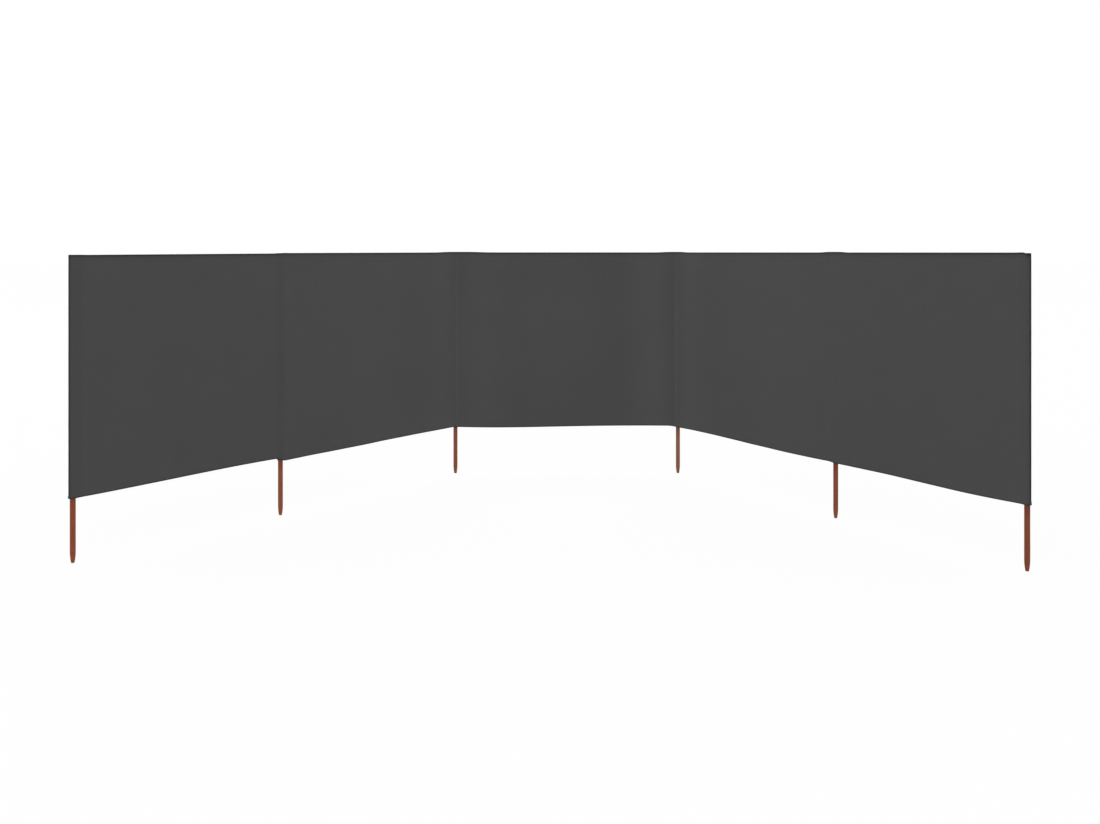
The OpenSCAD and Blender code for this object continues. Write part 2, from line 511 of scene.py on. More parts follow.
def read_note(tree, name):
    """Value that a piece's points carry under a name."""
    return add_node(tree, "ShaderNodeAttribute", attribute_name=name).outputs["Fac"]


def new_group(name, inputs, outputs):
    """Node group with named sockets, its input node and its output node."""
    old = bpy.data.node_groups.get(name)
    if old:
        bpy.data.node_groups.remove(old)
    group = bpy.data.node_groups.new(name, "ShaderNodeTree")
    for label, kind in inputs:
        group.interface.new_socket(label, in_out="INPUT", socket_type=kind)
    for label, kind in outputs:
        group.interface.new_socket(label, in_out="OUTPUT", socket_type=kind)
    return group, group.nodes.new("NodeGroupInput"), group.nodes.new("NodeGroupOutput")


def use_group(tree, group, inputs):
    """Node group placed in a material."""
    made = tree.nodes.new("ShaderNodeGroup")
    made.node_tree = group
    for key, value in inputs.items():
        if isinstance(value, bpy.types.NodeSocket):
            tree.links.new(value, made.inputs[key])
        else:
            made.inputs[key].default_value = value
    return made


def new_material(name):
    """Empty node material, in place of an earlier one of that name."""
    old = bpy.data.materials.get(name)
    if old:
        bpy.data.materials.remove(old)
    material = bpy.data.materials.new(name)
    material.use_nodes = True
    material.node_tree.nodes.clear()
    return material, material.node_tree


def seen_directly(tree):
    """1 where the eye looks, directly, in a mirror or through glass, and 0 for the light itself."""
    ray = add_node(tree, "ShaderNodeLightPath")
    seen = maths(tree, "MAXIMUM", ray.outputs["Is Camera Ray"], ray.outputs["Is Glossy Ray"])
    return maths(tree, "MAXIMUM", seen, ray.outputs["Is Transmission Ray"])


def finish_surface(tree, colour, roughness, height, depth, sheen, specular):
    """Principled surface with a bump of a depth in metres, and the material's output."""
    bump = add_node(tree, "ShaderNodeBump", {"Height": height, "Distance": depth, "Strength": 1.0})
    shader = add_node(tree, "ShaderNodeBsdfPrincipled", {
        "Base Color": colour,
        "Roughness": roughness,
        "Normal": bump.outputs[0],
        "Sheen Weight": sheen,
        "Sheen Roughness": 0.6,
        "Specular IOR Level": specular,
    })
    add_node(tree, "ShaderNodeOutputMaterial", {"Surface": shader.outputs[0]})


# ---- Materials ----

def weave_group():
    """Plain weave of uneven yarns, with a painted highlight on the yarns' crowns."""
    group, given, result = new_group(
        "plain weave",
        [("Pattern", "NodeSocketVector"), ("Colour", "NodeSocketColor"),
         ("Yarn Pitch", "NodeSocketFloat"), ("Unevenness", "NodeSocketFloat")],
        [("Colour", "NodeSocketColor"), ("Roughness", "NodeSocketFloat"), ("Height", "NodeSocketFloat")],
    )
    pattern = given.outputs["Pattern"]
    turns = maths(group, "DIVIDE", math.pi, given.outputs["Yarn Pitch"])
    yarns = add_node(group, "ShaderNodeVectorMath", {0: pattern, "Scale": turns}, operation="SCALE")
    parts = add_node(group, "ShaderNodeSeparateXYZ", {0: yarns.outputs[0]})
    across = maths(group, "SINE", parts.outputs["X"])
    up = maths(group, "SINE", parts.outputs["Y"])
    over = maths(group, "MULTIPLY", across, up)
    mound = maths(group, "ABSOLUTE", over)
    warp_grain, weft_grain, patches_per_metre = (1100, 9, 1), (7, 1100, 1), 5.0
    warp = noise(group, times(group, pattern, warp_grain), 1.0)
    weft = noise(group, times(group, pattern, weft_grain), 1.0)
    patches = noise(group, pattern, patches_per_metre, detail=3.0)
    streaks = maths(group, "SUBTRACT", maths(group, "ADD", warp, weft), 1.0)
    blotch = maths(group, "SUBTRACT", patches, 0.5)
    blotch_share, warp_share, crown_highlight_share, crown_highlight_mean = 0.35, 0.06, 0.16, 0.065
    rough, rough_fall, streak_height = 0.93, -0.08, 0.4
    uneven = maths(group, "ADD", streaks, maths(group, "MULTIPLY", blotch, blotch_share))
    tone = maths(group, "MULTIPLY_ADD", uneven, given.outputs["Unevenness"], 1.0)
    # Painted highlight: the yarns' raised crowns are made lighter, less its mean, so the mean tone stays
    yarn_tone = maths(group, "SUBTRACT", maths(group, "MULTIPLY_ADD", over, warp_share, tone), crown_highlight_mean)
    tone_and_crown_highlight = maths(group, "MULTIPLY_ADD", mound, crown_highlight_share, yarn_tone)
    group.links.new(scaled_colour(group, given.outputs["Colour"], tone_and_crown_highlight), result.inputs["Colour"])
    group.links.new(maths(group, "MULTIPLY_ADD", mound, rough_fall, rough), result.inputs["Roughness"])
    height = maths(group, "MULTIPLY_ADD", streaks, streak_height, mound)
    group.links.new(height, result.inputs["Height"])
    return group


def cloth_material(looks):
    """Matt anthracite cloth, with painted shade in front of some poles and along its edges."""
    material, tree = new_material(CLOTH_FINISH)
    pattern = add_node(tree, "ShaderNodeUVMap", uv_map="pattern").outputs["UV"]
    weave = use_group(tree, weave_group(), {
        "Pattern": pattern,
        "Colour": (*looks.colour, 1),
        "Yarn Pitch": looks.yarn_pitch,
        "Unevenness": looks.unevenness,
    })
    # Painted shade: the weave's colour is darkened by the points' shade values
    colour = scaled_colour(tree, weave.outputs["Colour"], read_note(tree, "shade"))
    finish_surface(
        tree, colour, weave.outputs["Roughness"], weave.outputs["Height"],
        depth=0.12 * MM, sheen=0.04, specular=0.2)
    return material


def thread_material(looks):
    """Sewing thread, a little lighter than the cloth, with a twist."""
    material, tree = new_material("sewing thread")
    place = add_node(tree, "ShaderNodeTexCoord").outputs["Object"]
    twists_per_metre, runs_per_metre, tone_share = 2200.0, 9.0, 0.35
    twist = noise(tree, place, twists_per_metre, detail=1.0)
    runs = noise(tree, place, runs_per_metre)
    tone = maths(tree, "MULTIPLY_ADD", maths(tree, "ADD", twist, runs), tone_share, 1 - tone_share)
    colour = scaled_colour(tree, tuple(looks.colour), tone)
    roughness = between(tree, twist, 0.3, 0.7, to_low=0.6, to_high=0.8)
    finish_surface(tree, colour, roughness, twist, depth=0.05 * MM, sheen=0.1, specular=0.35)
    return material


def grain_group():
    """Growth rings, fibres, knots and uneven stain of turned pine, from places round its heart."""
    group, given, result = new_group(
        "turned pine",
        [("Place", "NodeSocketVector"), ("Light", "NodeSocketColor"), ("Dark", "NodeSocketColor"),
         ("Ring Pitch", "NodeSocketFloat"), ("Knot Size", "NodeSocketFloat")],
        [("Colour", "NodeSocketColor"), ("Roughness", "NodeSocketFloat"), ("Height", "NodeSocketFloat")],
    )
    drift_grain, fibre_grain, stain_grain = (60, 60, 5), (1500, 1500, 22), (40, 40, 4)
    knot_spread = (1, 1, 0.62)
    knots_per_metre, drift_rings = 13.0, 3.2
    late_share, stain_share, fibre_share, knot_share, lightening = 0.34, 0.5, 0.5, 0.9, 0.2
    place = given.outputs["Place"]
    flat = times(group, place, (1, 1, 0))
    radius = add_node(group, "ShaderNodeVectorMath", {0: flat}, operation="LENGTH").outputs["Value"]
    drift = noise(group, times(group, place, drift_grain), 1.0)
    grown = maths(group, "DIVIDE", radius, given.outputs["Ring Pitch"])
    rings = maths(group, "MULTIPLY_ADD", drift, drift_rings, grown)
    late = between(group, maths(group, "FRACT", rings), 0.35, 1.0)
    fibres = noise(group, times(group, place, fibre_grain), 1.0, detail=3.0)
    stain = noise(group, times(group, place, stain_grain), 1.0, detail=3.0)
    cells = add_node(group, "ShaderNodeTexVoronoi", {
        "Vector": times(group, place, knot_spread), "Scale": knots_per_metre})
    from_knot = maths(group, "DIVIDE", cells.outputs["Distance"], knots_per_metre)
    knot = between(group, from_knot, given.outputs["Knot Size"], 0.4 * MM)
    darkness = maths(group, "MULTIPLY_ADD", late, late_share, maths(group, "MULTIPLY", stain, stain_share))
    darkness = maths(group, "MULTIPLY_ADD", fibres, fibre_share, darkness)
    darkness = maths(group, "SUBTRACT", darkness, lightening)
    darkness = maths(group, "MULTIPLY_ADD", knot, knot_share, darkness)
    share = maths(group, "MINIMUM", maths(group, "MAXIMUM", darkness, 0.0), 1.0)
    colour = mixed_colour(group, share, given.outputs["Light"], given.outputs["Dark"])
    group.links.new(colour, result.inputs["Colour"])
    roughness = between(group, fibres, 0.3, 0.7, to_low=0.5, to_high=0.68)
    group.links.new(roughness, result.inputs["Roughness"])
    late_ridge, fibre_ridge = 0.5, 0.6
    ridges = maths(group, "MULTIPLY_ADD", late, late_ridge, maths(group, "MULTIPLY", fibres, fibre_ridge))
    group.links.new(ridges, result.inputs["Height"])
    return group


def pine_material(looks):
    """Pine with a red-brown stain, of its own tint and level on each pole, with painted shade where it goes
    into its pocket.
    """
    material, tree = new_material("stained pine")
    place = add_node(tree, "ShaderNodeAttribute", attribute_name="heart").outputs["Vector"]
    tint = read_note(tree, "tint")
    shade = read_note(tree, "shade")
    light = mixed_colour(tree, tint, (*looks.red_light, 1), (*looks.brown_light, 1))
    dark = mixed_colour(tree, tint, (*looks.red_dark, 1), (*looks.brown_dark, 1))
    grain = use_group(tree, grain_group(), {
        "Place": place,
        "Light": light,
        "Dark": dark,
        "Ring Pitch": looks.ring_pitch,
        "Knot Size": looks.knot_size,
    })
    # The stain's level and the painted shade inside the pocket darken the grain's colour
    colour = scaled_colour(tree, grain.outputs["Colour"], shade)
    finish_surface(
        tree, colour, grain.outputs["Roughness"], grain.outputs["Height"],
        depth=0.15 * MM, sheen=0.0, specular=0.2)
    return material


# ---- Settings ----

class ClothSettings(PropertyGroup):
    """Shape and finish of the cloth."""

    colour: FloatVectorProperty(
        name="Colour", description="Colour of the cloth", subtype="COLOR",
        default=(0.0648, 0.0648, 0.0648), min=0, max=1)
    thickness: FloatProperty(
        name="Thickness", description="Thickness of the cloth", default=0.9 * MM, unit="LENGTH")
    hem_layer: FloatProperty(
        name="Turned Layer", description="Thickness of a turned-over layer", default=0.8 * MM, unit="LENGTH")
    hem_looseness: FloatProperty(
        name="Hem Looseness", description="How far a hem's cut edge stands off past its stitches",
        default=0.4 * MM, unit="LENGTH")
    edge_fold: FloatProperty(
        name="Edge Fold", description="How far the cloth stops short of its folded edges",
        default=1 * MM, unit="LENGTH")
    fold_reach: FloatProperty(
        name="Fold Reach", description="Distance along the cloth from an end pole to its free edge",
        default=19.5 * MM, unit="LENGTH")
    fold_depth: FloatProperty(
        name="Fold Depth", description="Distance from the poles' line to the front of that fold",
        default=2 * MM, unit="LENGTH")
    fold_start: FloatProperty(
        name="Fold Start", description="Distance past an end pole at which the cloth turns back",
        default=9 * MM, unit="LENGTH")
    fold_softness: FloatProperty(
        name="Fold Softness", description="Distance over which the cloth rounds its folds at the free edges",
        default=3.5 * MM, unit="LENGTH")
    bend_softness: FloatProperty(
        name="Bend Softness", description="Distance over which the cloth rounds a bend at a pole",
        default=12 * MM, unit="LENGTH")
    wave_height: FloatProperty(
        name="Wave Height", description="Height of the waves in a bay", default=3 * MM, unit="LENGTH")
    wave_size: FloatProperty(
        name="Wave Size", description="Width of the waves in a bay", default=0.28, unit="LENGTH")
    top_slack: FloatProperty(
        name="Top Slack", description="Share of the waves that is left at the top edge",
        default=0.3, min=0, max=1, subtype="FACTOR")
    held_width: FloatProperty(
        name="Held Width", description="Distance from a pole within which the cloth is flat",
        default=45 * MM, unit="LENGTH")
    free_width: FloatProperty(
        name="Free Width", description="Distance from a pole past which the waves are whole",
        default=200 * MM, unit="LENGTH")
    pucker: FloatProperty(
        name="Pucker", description="Height of the puckers along a pocket", default=0.4 * MM, unit="LENGTH")
    pucker_size: FloatProperty(
        name="Pucker Size", description="Width of the puckers along a pocket",
        default=30 * MM, unit="LENGTH")
    middle_bow: FloatProperty(
        name="Middle Bow", description="How far the middle bay's lower edge is blown back",
        default=20 * MM, unit="LENGTH")
    start_lifts: FloatVectorProperty(
        name="Start Lifts", description="How far each bay's lower edge is drawn up at its left end",
        size=BAY_COUNT, default=(1 * MM, -2 * MM, 3 * MM, 2 * MM, 0), unit="LENGTH")
    end_lifts: FloatVectorProperty(
        name="End Lifts", description="How far each bay's lower edge is drawn up at its right end",
        size=BAY_COUNT, default=(13 * MM, 6 * MM, 9 * MM, 4 * MM, 2 * MM), unit="LENGTH")
    mid_lifts: FloatVectorProperty(
        name="Mid Lifts", description="How much further it is drawn up half way",
        size=BAY_COUNT, default=(1.5 * MM, 1.5 * MM, -3 * MM, -0.5 * MM, -2 * MM), unit="LENGTH")
    sway_lifts: FloatVectorProperty(
        name="Sway Lifts", description="How much it is up in the first half and down in the second",
        size=BAY_COUNT, default=(-2 * MM, 0, -3.5 * MM, 3.5 * MM, 3 * MM), unit="LENGTH")
    blend_width: FloatProperty(
        name="Blend Width", description="Half of the distance over which one bay's edge meets the next's",
        default=40 * MM, unit="LENGTH")
    blend_shift: FloatProperty(
        name="Blend Shift", description="How far to the left of a pole the middle of that is",
        default=10 * MM, unit="LENGTH")
    pole_drop: FloatProperty(
        name="Pole Drop", description="How far the lower edge hangs down in front of a pole",
        default=1 * MM, unit="LENGTH")
    drop_width: FloatProperty(
        name="Drop Width", description="Half width of that drop", default=18 * MM, unit="LENGTH")
    start_sags: FloatVectorProperty(
        name="Start Sags", description="How far each bay's top edge sags at its left end",
        size=BAY_COUNT, default=(2.3 * MM, 2.6 * MM, 0, 0, 0), unit="LENGTH")
    end_sags: FloatVectorProperty(
        name="End Sags", description="How far each bay's top edge sags at its right end",
        size=BAY_COUNT, default=(4.3 * MM, 0, 0, 0, 0), unit="LENGTH")
    bump_widths: FloatVectorProperty(
        name="Bump Widths", description="Half width of the bump over each pole", size=POLE_COUNT,
        default=(40 * MM, 40 * MM, 140 * MM, 80 * MM, 75 * MM, 40 * MM), unit="LENGTH")
    bumps: FloatVectorProperty(
        name="Bumps", description="Share of the pockets' rise that shows as a bump over each pole",
        size=POLE_COUNT, default=(0.2, 0.2, 0.95, 0.9, 0.9, 0.2), min=0, max=1)
    corner_dip: FloatProperty(
        name="Corner Dip", description="How far the last top corner hangs down", default=8.5 * MM,
        unit="LENGTH")
    allowance: FloatProperty(
        name="Allowance", description="Width of a pocket's seam allowance", default=6 * MM, unit="LENGTH")
    stitch_line: FloatProperty(
        name="Stitch Line", description="Distance from an edge to its row of stitches",
        default=10 * MM, unit="LENGTH")
    groove: FloatProperty(
        name="Groove", description="How deep a row of stitches pulls the cloth in",
        default=0.3 * MM, unit="LENGTH")
    groove_width: FloatProperty(
        name="Groove Width", description="Half width of that groove", default=2.4 * MM, unit="LENGTH")
    yarn_pitch: FloatProperty(
        name="Yarn Pitch", description="Distance between yarns", default=0.7 * MM, unit="LENGTH")
    unevenness: FloatProperty(
        name="Unevenness", description="How much the yarns differ in tone", default=0.22, min=0, max=1,
        subtype="FACTOR")
    # Painted shade of the cloth in front of each pole, where a pole and its pocket stand behind it
    painted_pole_shades: FloatVectorProperty(
        name="Pole Shades", description="How much darker the cloth is in front of each pole",
        size=POLE_COUNT, default=(0.06, 0.07, 0, 0, 0, 0.02), min=0, max=1)
    pole_shade_width: FloatProperty(
        name="Pole Shade Width", description="Half width of that darker band", default=26 * MM,
        unit="LENGTH")
    pole_shade_shifts: FloatVectorProperty(
        name="Pole Shade Shifts", description="How far that band lies to the left of each pole",
        size=POLE_COUNT, default=(-12 * MM, 12 * MM, 0, 0, 0, 0), unit="LENGTH")
    # Painted shade along the cloth's edges, fading from each edge; hems and pockets take a share of it
    edge_shade: FloatProperty(
        name="Edge Shade", description="How much darker the cloth is at its edges", default=0.9,
        min=0, max=1, subtype="FACTOR")
    edge_fade: FloatProperty(
        name="Edge Fade", description="Distance over which that fades from the top edge",
        default=6.5 * MM, unit="LENGTH")
    back_share: FloatProperty(
        name="Back Share", description="Share of that darkness that hems and pockets show behind",
        default=0.4, min=0, max=1, subtype="FACTOR")
    side_fade: FloatProperty(
        name="Side Fade", description="Distance over which that fades from the free edges",
        default=3.5 * MM, unit="LENGTH")
    bottom_fade: FloatProperty(
        name="Bottom Fade", description="Distance over which that fades from the bottom edge",
        default=2.5 * MM, unit="LENGTH")


class PocketSettings(PropertyGroup):
    """Shape of the pockets' strips of cloth."""

    thickness: FloatProperty(
        name="Thickness", description="Thickness of a pocket's strip", default=0.75 * MM, unit="LENGTH")
    clearance: FloatProperty(
        name="Clearance", description="Gap between the pole and the strip", default=0.6 * MM, unit="LENGTH")
    seam_softness: FloatProperty(
        name="Seam Softness", description="Distance over which the strip rises from its seam",
        default=1.3 * MM, unit="LENGTH")
    slack: FloatProperty(
        name="Slack", description="Height of the creases in the strip", default=1.1 * MM, unit="LENGTH")
    pinch: FloatProperty(
        name="Pinch", description="How far the stitches pull the strip in along its seams",
        default=0.25 * MM, unit="LENGTH")
    cap_height: FloatProperty(
        name="Cap Height", description="Height over which the strip closes above the pole",
        default=3.6 * MM, unit="LENGTH")
    wing_height: FloatProperty(
        name="Wing Height", description="Height over which the strip closes beside the pole",
        default=34 * MM, unit="LENGTH")
    edge_room: FloatProperty(
        name="Edge Room", description="How far the strip stops short of the cloth's lower edge",
        default=0.3 * MM, unit="LENGTH")
    hang: FloatProperty(
        name="Hang", description="How far the strip hangs below the cloth behind the pole",
        default=3 * MM, unit="LENGTH")
    turned_height: FloatProperty(
        name="Turned Height", description="Height of the strip's turned-up lower edge",
        default=11 * MM, unit="LENGTH")


class StitchSettings(PropertyGroup):
    """Size and colour of the stitches."""

    colour: FloatVectorProperty(
        name="Colour", description="Colour of the thread", subtype="COLOR",
        default=(0.072, 0.072, 0.073), min=0, max=1)
    pitch: FloatProperty(
        name="Pitch", description="Distance from stitch to stitch", default=4 * MM, unit="LENGTH")
    length: FloatProperty(
        name="Length", description="Length of a stitch", default=3.3 * MM, unit="LENGTH")
    width: FloatProperty(
        name="Width", description="Width of a stitch", default=0.6 * MM, unit="LENGTH")
    lift: FloatProperty(
        name="Lift", description="How far the stitches behind stand off the cloth under them",
        default=0.12 * MM, unit="LENGTH")


class PoleSettings(PropertyGroup):
    """Shape and finish of the poles."""

    sides: IntProperty(
        name="Sides", description="Number of faces round a pole", default=48, min=24, max=96)
    rows: IntProperty(
        name="Rows", description="Number of faces up a pole's shaft", default=64, min=8, max=200)
    point_length: FloatProperty(
        name="Point Length", description="Length of the tapered lower end", default=45 * MM, unit="LENGTH")
    point_radius: FloatProperty(
        name="Point Radius", description="Radius above the rounded foot", default=7 * MM, unit="LENGTH")
    foot_radius: FloatProperty(
        name="Foot Radius", description="Radius of the flat of the foot", default=5 * MM, unit="LENGTH")
    foot_height: FloatProperty(
        name="Foot Height", description="Height of the rounded foot", default=3 * MM, unit="LENGTH")
    top_room: FloatProperty(
        name="Top Room", description="Least room between a pole's top and the top of its pocket",
        default=2.2 * MM, unit="LENGTH")
    top_round: FloatProperty(
        name="Top Round", description="Rounding of the top's edge", default=1.5 * MM, unit="LENGTH")
    unevenness: FloatProperty(
        name="Unevenness", description="How far the turned surface strays from round",
        default=0.08 * MM, unit="LENGTH")
    red_light: FloatVectorProperty(
        name="Red, Light", description="Light tone of the redder poles", subtype="COLOR",
        default=(0.305, 0.074, 0.028), min=0, max=1)
    red_dark: FloatVectorProperty(
        name="Red, Dark", description="Dark tone of the redder poles", subtype="COLOR",
        default=(0.146, 0.030, 0.011), min=0, max=1)
    brown_light: FloatVectorProperty(
        name="Brown, Light", description="Light tone of the browner poles", subtype="COLOR",
        default=(0.265, 0.116, 0.062), min=0, max=1)
    brown_dark: FloatVectorProperty(
        name="Brown, Dark", description="Dark tone of the browner poles", subtype="COLOR",
        default=(0.121, 0.048, 0.024), min=0, max=1)
    tints: FloatVectorProperty(
        name="Tints", description="How brown the stain of each pole is", size=POLE_COUNT,
        default=(0.0, 0.25, 0.3, 0.9, 0.2, 0.1), min=0, max=1)
    levels: FloatVectorProperty(
        name="Levels", description="How light the stain of each pole is", size=POLE_COUNT,
        default=(1.13, 1.06, 1.0, 1.0, 1.0, 0.88), min=0, max=2)
    # Painted shade on a pole where it goes into its pocket, fading out below the cloth
    pocket_painted_shade: FloatProperty(
        name="Pocket Shade", description="How much darker a pole is inside its pocket", default=0.25,
        min=0, max=1, subtype="FACTOR")
    pocket_fade: FloatProperty(
        name="Pocket Fade", description="Distance below the cloth over which that fades",
        default=60 * MM, unit="LENGTH")
    ring_pitch: FloatProperty(
        name="Ring Pitch", description="Distance between growth rings", default=2.4 * MM, unit="LENGTH")
    knot_size: FloatProperty(
        name="Knot Size", description="Radius of the largest knots", default=5 * MM, unit="LENGTH")


class StageSettings(PropertyGroup):
    """Camera, floor and lights."""

    camera_place: FloatVectorProperty(
        name="Camera Place", description="Place of the camera", subtype="TRANSLATION",
        default=(0.491, -6.982, 1.202))
    camera_turn: FloatProperty(
        name="Camera Turn", description="Turn of the level camera from +Y", default=-0.0033, unit="ROTATION")
    lens: FloatProperty(
        name="Lens", description="Focal length in millimetres", default=42.01, min=10, max=200)
    fall: FloatProperty(
        name="Vertical Shift", description="Shift of the view, which keeps upright lines upright",
        default=-0.1454)
    sky_level: FloatProperty(
        name="Sky Level", description="Strength of the even light from all sides", default=0.925, min=0)
    lamp_height: FloatProperty(
        name="Lamp Height", description="Height of the middle of the cloth, where lamps stand or point",
        default=0.72, unit="LENGTH")
    strip_distance: FloatProperty(
        name="Strip Distance", description="Distance from a bend's pole to the upright lamp that fills it",
        default=0.25, unit="LENGTH")
    strip_width: FloatProperty(
        name="Strip Width", description="Width of those two lamps", default=0.1, unit="LENGTH")
    strip_length: FloatProperty(
        name="Strip Length", description="Height of those two lamps", default=1.1, unit="LENGTH")
    left_turn: FloatProperty(
        name="Left Turn", description="How far the left one stands aside from the middle of its bend",
        default=0, unit="ROTATION")
    right_turn: FloatProperty(
        name="Right Turn", description="How far the right one stands aside from the middle of its bend",
        default=-0.12, unit="ROTATION")
    left_power: FloatProperty(
        name="Left Strip", description="Power of the left one", default=0.19, min=0, unit="POWER")
    right_power: FloatProperty(
        name="Right Strip", description="Power of the right one", default=0.255, min=0, unit="POWER")
    glow_place: FloatVectorProperty(
        name="Glow Place", description="Place of the weak lamp on the sheltered side",
        subtype="TRANSLATION", default=(0.57, -0.8, 0.72))
    glow_size: FloatProperty(
        name="Glow Size", description="Radius of that lamp", default=0.15, unit="LENGTH")
    glow_power: FloatProperty(
        name="Glow Power", description="Power of that lamp", default=4.4, min=0, unit="POWER")
    back_place: FloatVectorProperty(
        name="Back Lamp Place", description="Place of the lamp behind", subtype="TRANSLATION",
        default=(-8.0, 18.0, 9.0))
    back_size: FloatProperty(
        name="Back Lamp Size", description="Width of the lamp behind", default=6, unit="LENGTH")
    back_power: FloatProperty(
        name="Back Lamp Power", description="Power of the lamp behind", default=300, min=0, unit="POWER")
    floor_size: FloatProperty(
        name="Floor Size", description="Side of the floor", default=400, unit="LENGTH")
    floor_colour: FloatVectorProperty(
        name="Floor Colour", description="Colour of the matt floor", subtype="COLOR",
        default=(0.95, 0.95, 0.95), min=0, max=1)
    floor_white: FloatProperty(
        name="Floor White", description="Share of the floor that shows as plain white, over its shadows",
        default=0.95, min=0, max=1, subtype="FACTOR")


# ---- Operators ----

class WINDBREAK_OT_stage(Operator):
    """Make the camera, the pale floor and the soft lights"""

    bl_idname = "windbreak.stage"
    bl_label = "Stage"

    def execute(self, context):
        settings = context.scene.windbreak_stage
        self.make_camera(context, settings)
        self.make_world(context, settings)
        self.make_floor(settings)
        bends = (("left strip", MIDDLE_BAY, settings.left_turn, settings.left_power),
                 ("right strip", MIDDLE_BAY + 1, settings.right_turn, settings.right_power))
        for name, pole, turn, power in bends:
            corner = POLE_PLACES[pole]
            ahead = corner + settings.strip_distance * way_inward(mean_heading(pole) + turn)
            self.make_lamp(name, (*ahead, settings.lamp_height), (*corner, settings.lamp_height),
                           (settings.strip_width, settings.strip_length), power)
        self.make_glow(settings)
        self.make_lamp("back lamp", settings.back_place, (*POLE_PLACES.mean(axis=0), settings.lamp_height),
                       (settings.back_size, settings.back_size), settings.back_power)
        context.scene.view_settings.view_transform = "Standard"
        return {"FINISHED"}

    @staticmethod
    def make_camera(context, settings):
        """Level camera, shifted down so that upright lines stay upright."""
        remove_old("camera")
        data = bpy.data.cameras.new("camera")
        camera = bpy.data.objects.new("camera", data)
        camera.location = settings.camera_place
        camera.rotation_euler = (math.pi / 2, 0, settings.camera_turn)
        data.lens = settings.lens
        data.shift_y = settings.fall
        context.scene.collection.objects.link(camera)
        context.scene.camera = camera

    @staticmethod
    def make_world(context, settings):
        """Even light from all sides, which is seen and mirrored as plain white."""
        old = bpy.data.worlds.get("studio")
        if old:
            bpy.data.worlds.remove(old)
        world = bpy.data.worlds.new("studio")
        world.use_nodes = True
        tree = world.node_tree
        tree.nodes.clear()
        level = maths(tree, "MULTIPLY_ADD", seen_directly(tree), 1 - settings.sky_level, settings.sky_level)
        light = add_node(tree, "ShaderNodeBackground", {"Color": (1, 1, 1, 1), "Strength": level})
        add_node(tree, "ShaderNodeOutputWorld", {"Surface": light.outputs[0]})
        context.scene.world = world

    @staticmethod
    def make_floor(settings):
        """Wide pale floor that shows as white with faint shadows."""
        material, tree = new_material("pale floor")
        share = maths(tree, "MULTIPLY", seen_directly(tree), settings.floor_white)
        matt = add_node(tree, "ShaderNodeBsdfDiffuse", {"Color": (*settings.floor_colour, 1)})
        white = add_node(tree, "ShaderNodeEmission", {"Color": (1, 1, 1, 1), "Strength": 1.0})
        both = add_node(tree, "ShaderNodeMixShader", {0: share, 1: matt.outputs[0], 2: white.outputs[0]})
        add_node(tree, "ShaderNodeOutputMaterial", {"Surface": both.outputs[0]})
        remove_old("floor")
        bm = bmesh.new()
        bmesh.ops.create_grid(bm, x_segments=1, y_segments=1, size=settings.floor_size / 2)
        mesh = bpy.data.meshes.new("floor")
        bm.to_mesh(mesh)
        bm.free()
        mesh.materials.append(material)
        floor = bpy.data.objects.new("floor", mesh)
        bpy.context.scene.collection.objects.link(floor)

    @staticmethod
    def make_glow(settings):
        """Weak round lamp, itself unseen, in the middle of the sheltered side."""
        remove_old("inner glow")
        data = bpy.data.lights.new("inner glow", "POINT")
        data.shadow_soft_size = settings.glow_size
        data.energy = settings.glow_power
        lamp = bpy.data.objects.new("inner glow", data)
        lamp.location = settings.glow_place
        lamp.visible_camera = False
        bpy.context.scene.collection.objects.link(lamp)

    @staticmethod
    def make_lamp(name, place, aim, size, power):
        """Flat lamp, itself unseen, of a width and height, that points at a place."""
        remove_old(name)
        data = bpy.data.lights.new(name, "AREA")
        data.shape = "RECTANGLE"
        data.size, data.size_y = size
        data.energy = power
        lamp = bpy.data.objects.new(name, data)
        lamp.location = place
        lamp.rotation_euler = (Vector(aim) - Vector(place)).to_track_quat("-Z", "Y").to_euler()
        lamp.visible_camera = False
        bpy.context.scene.collection.objects.link(lamp)


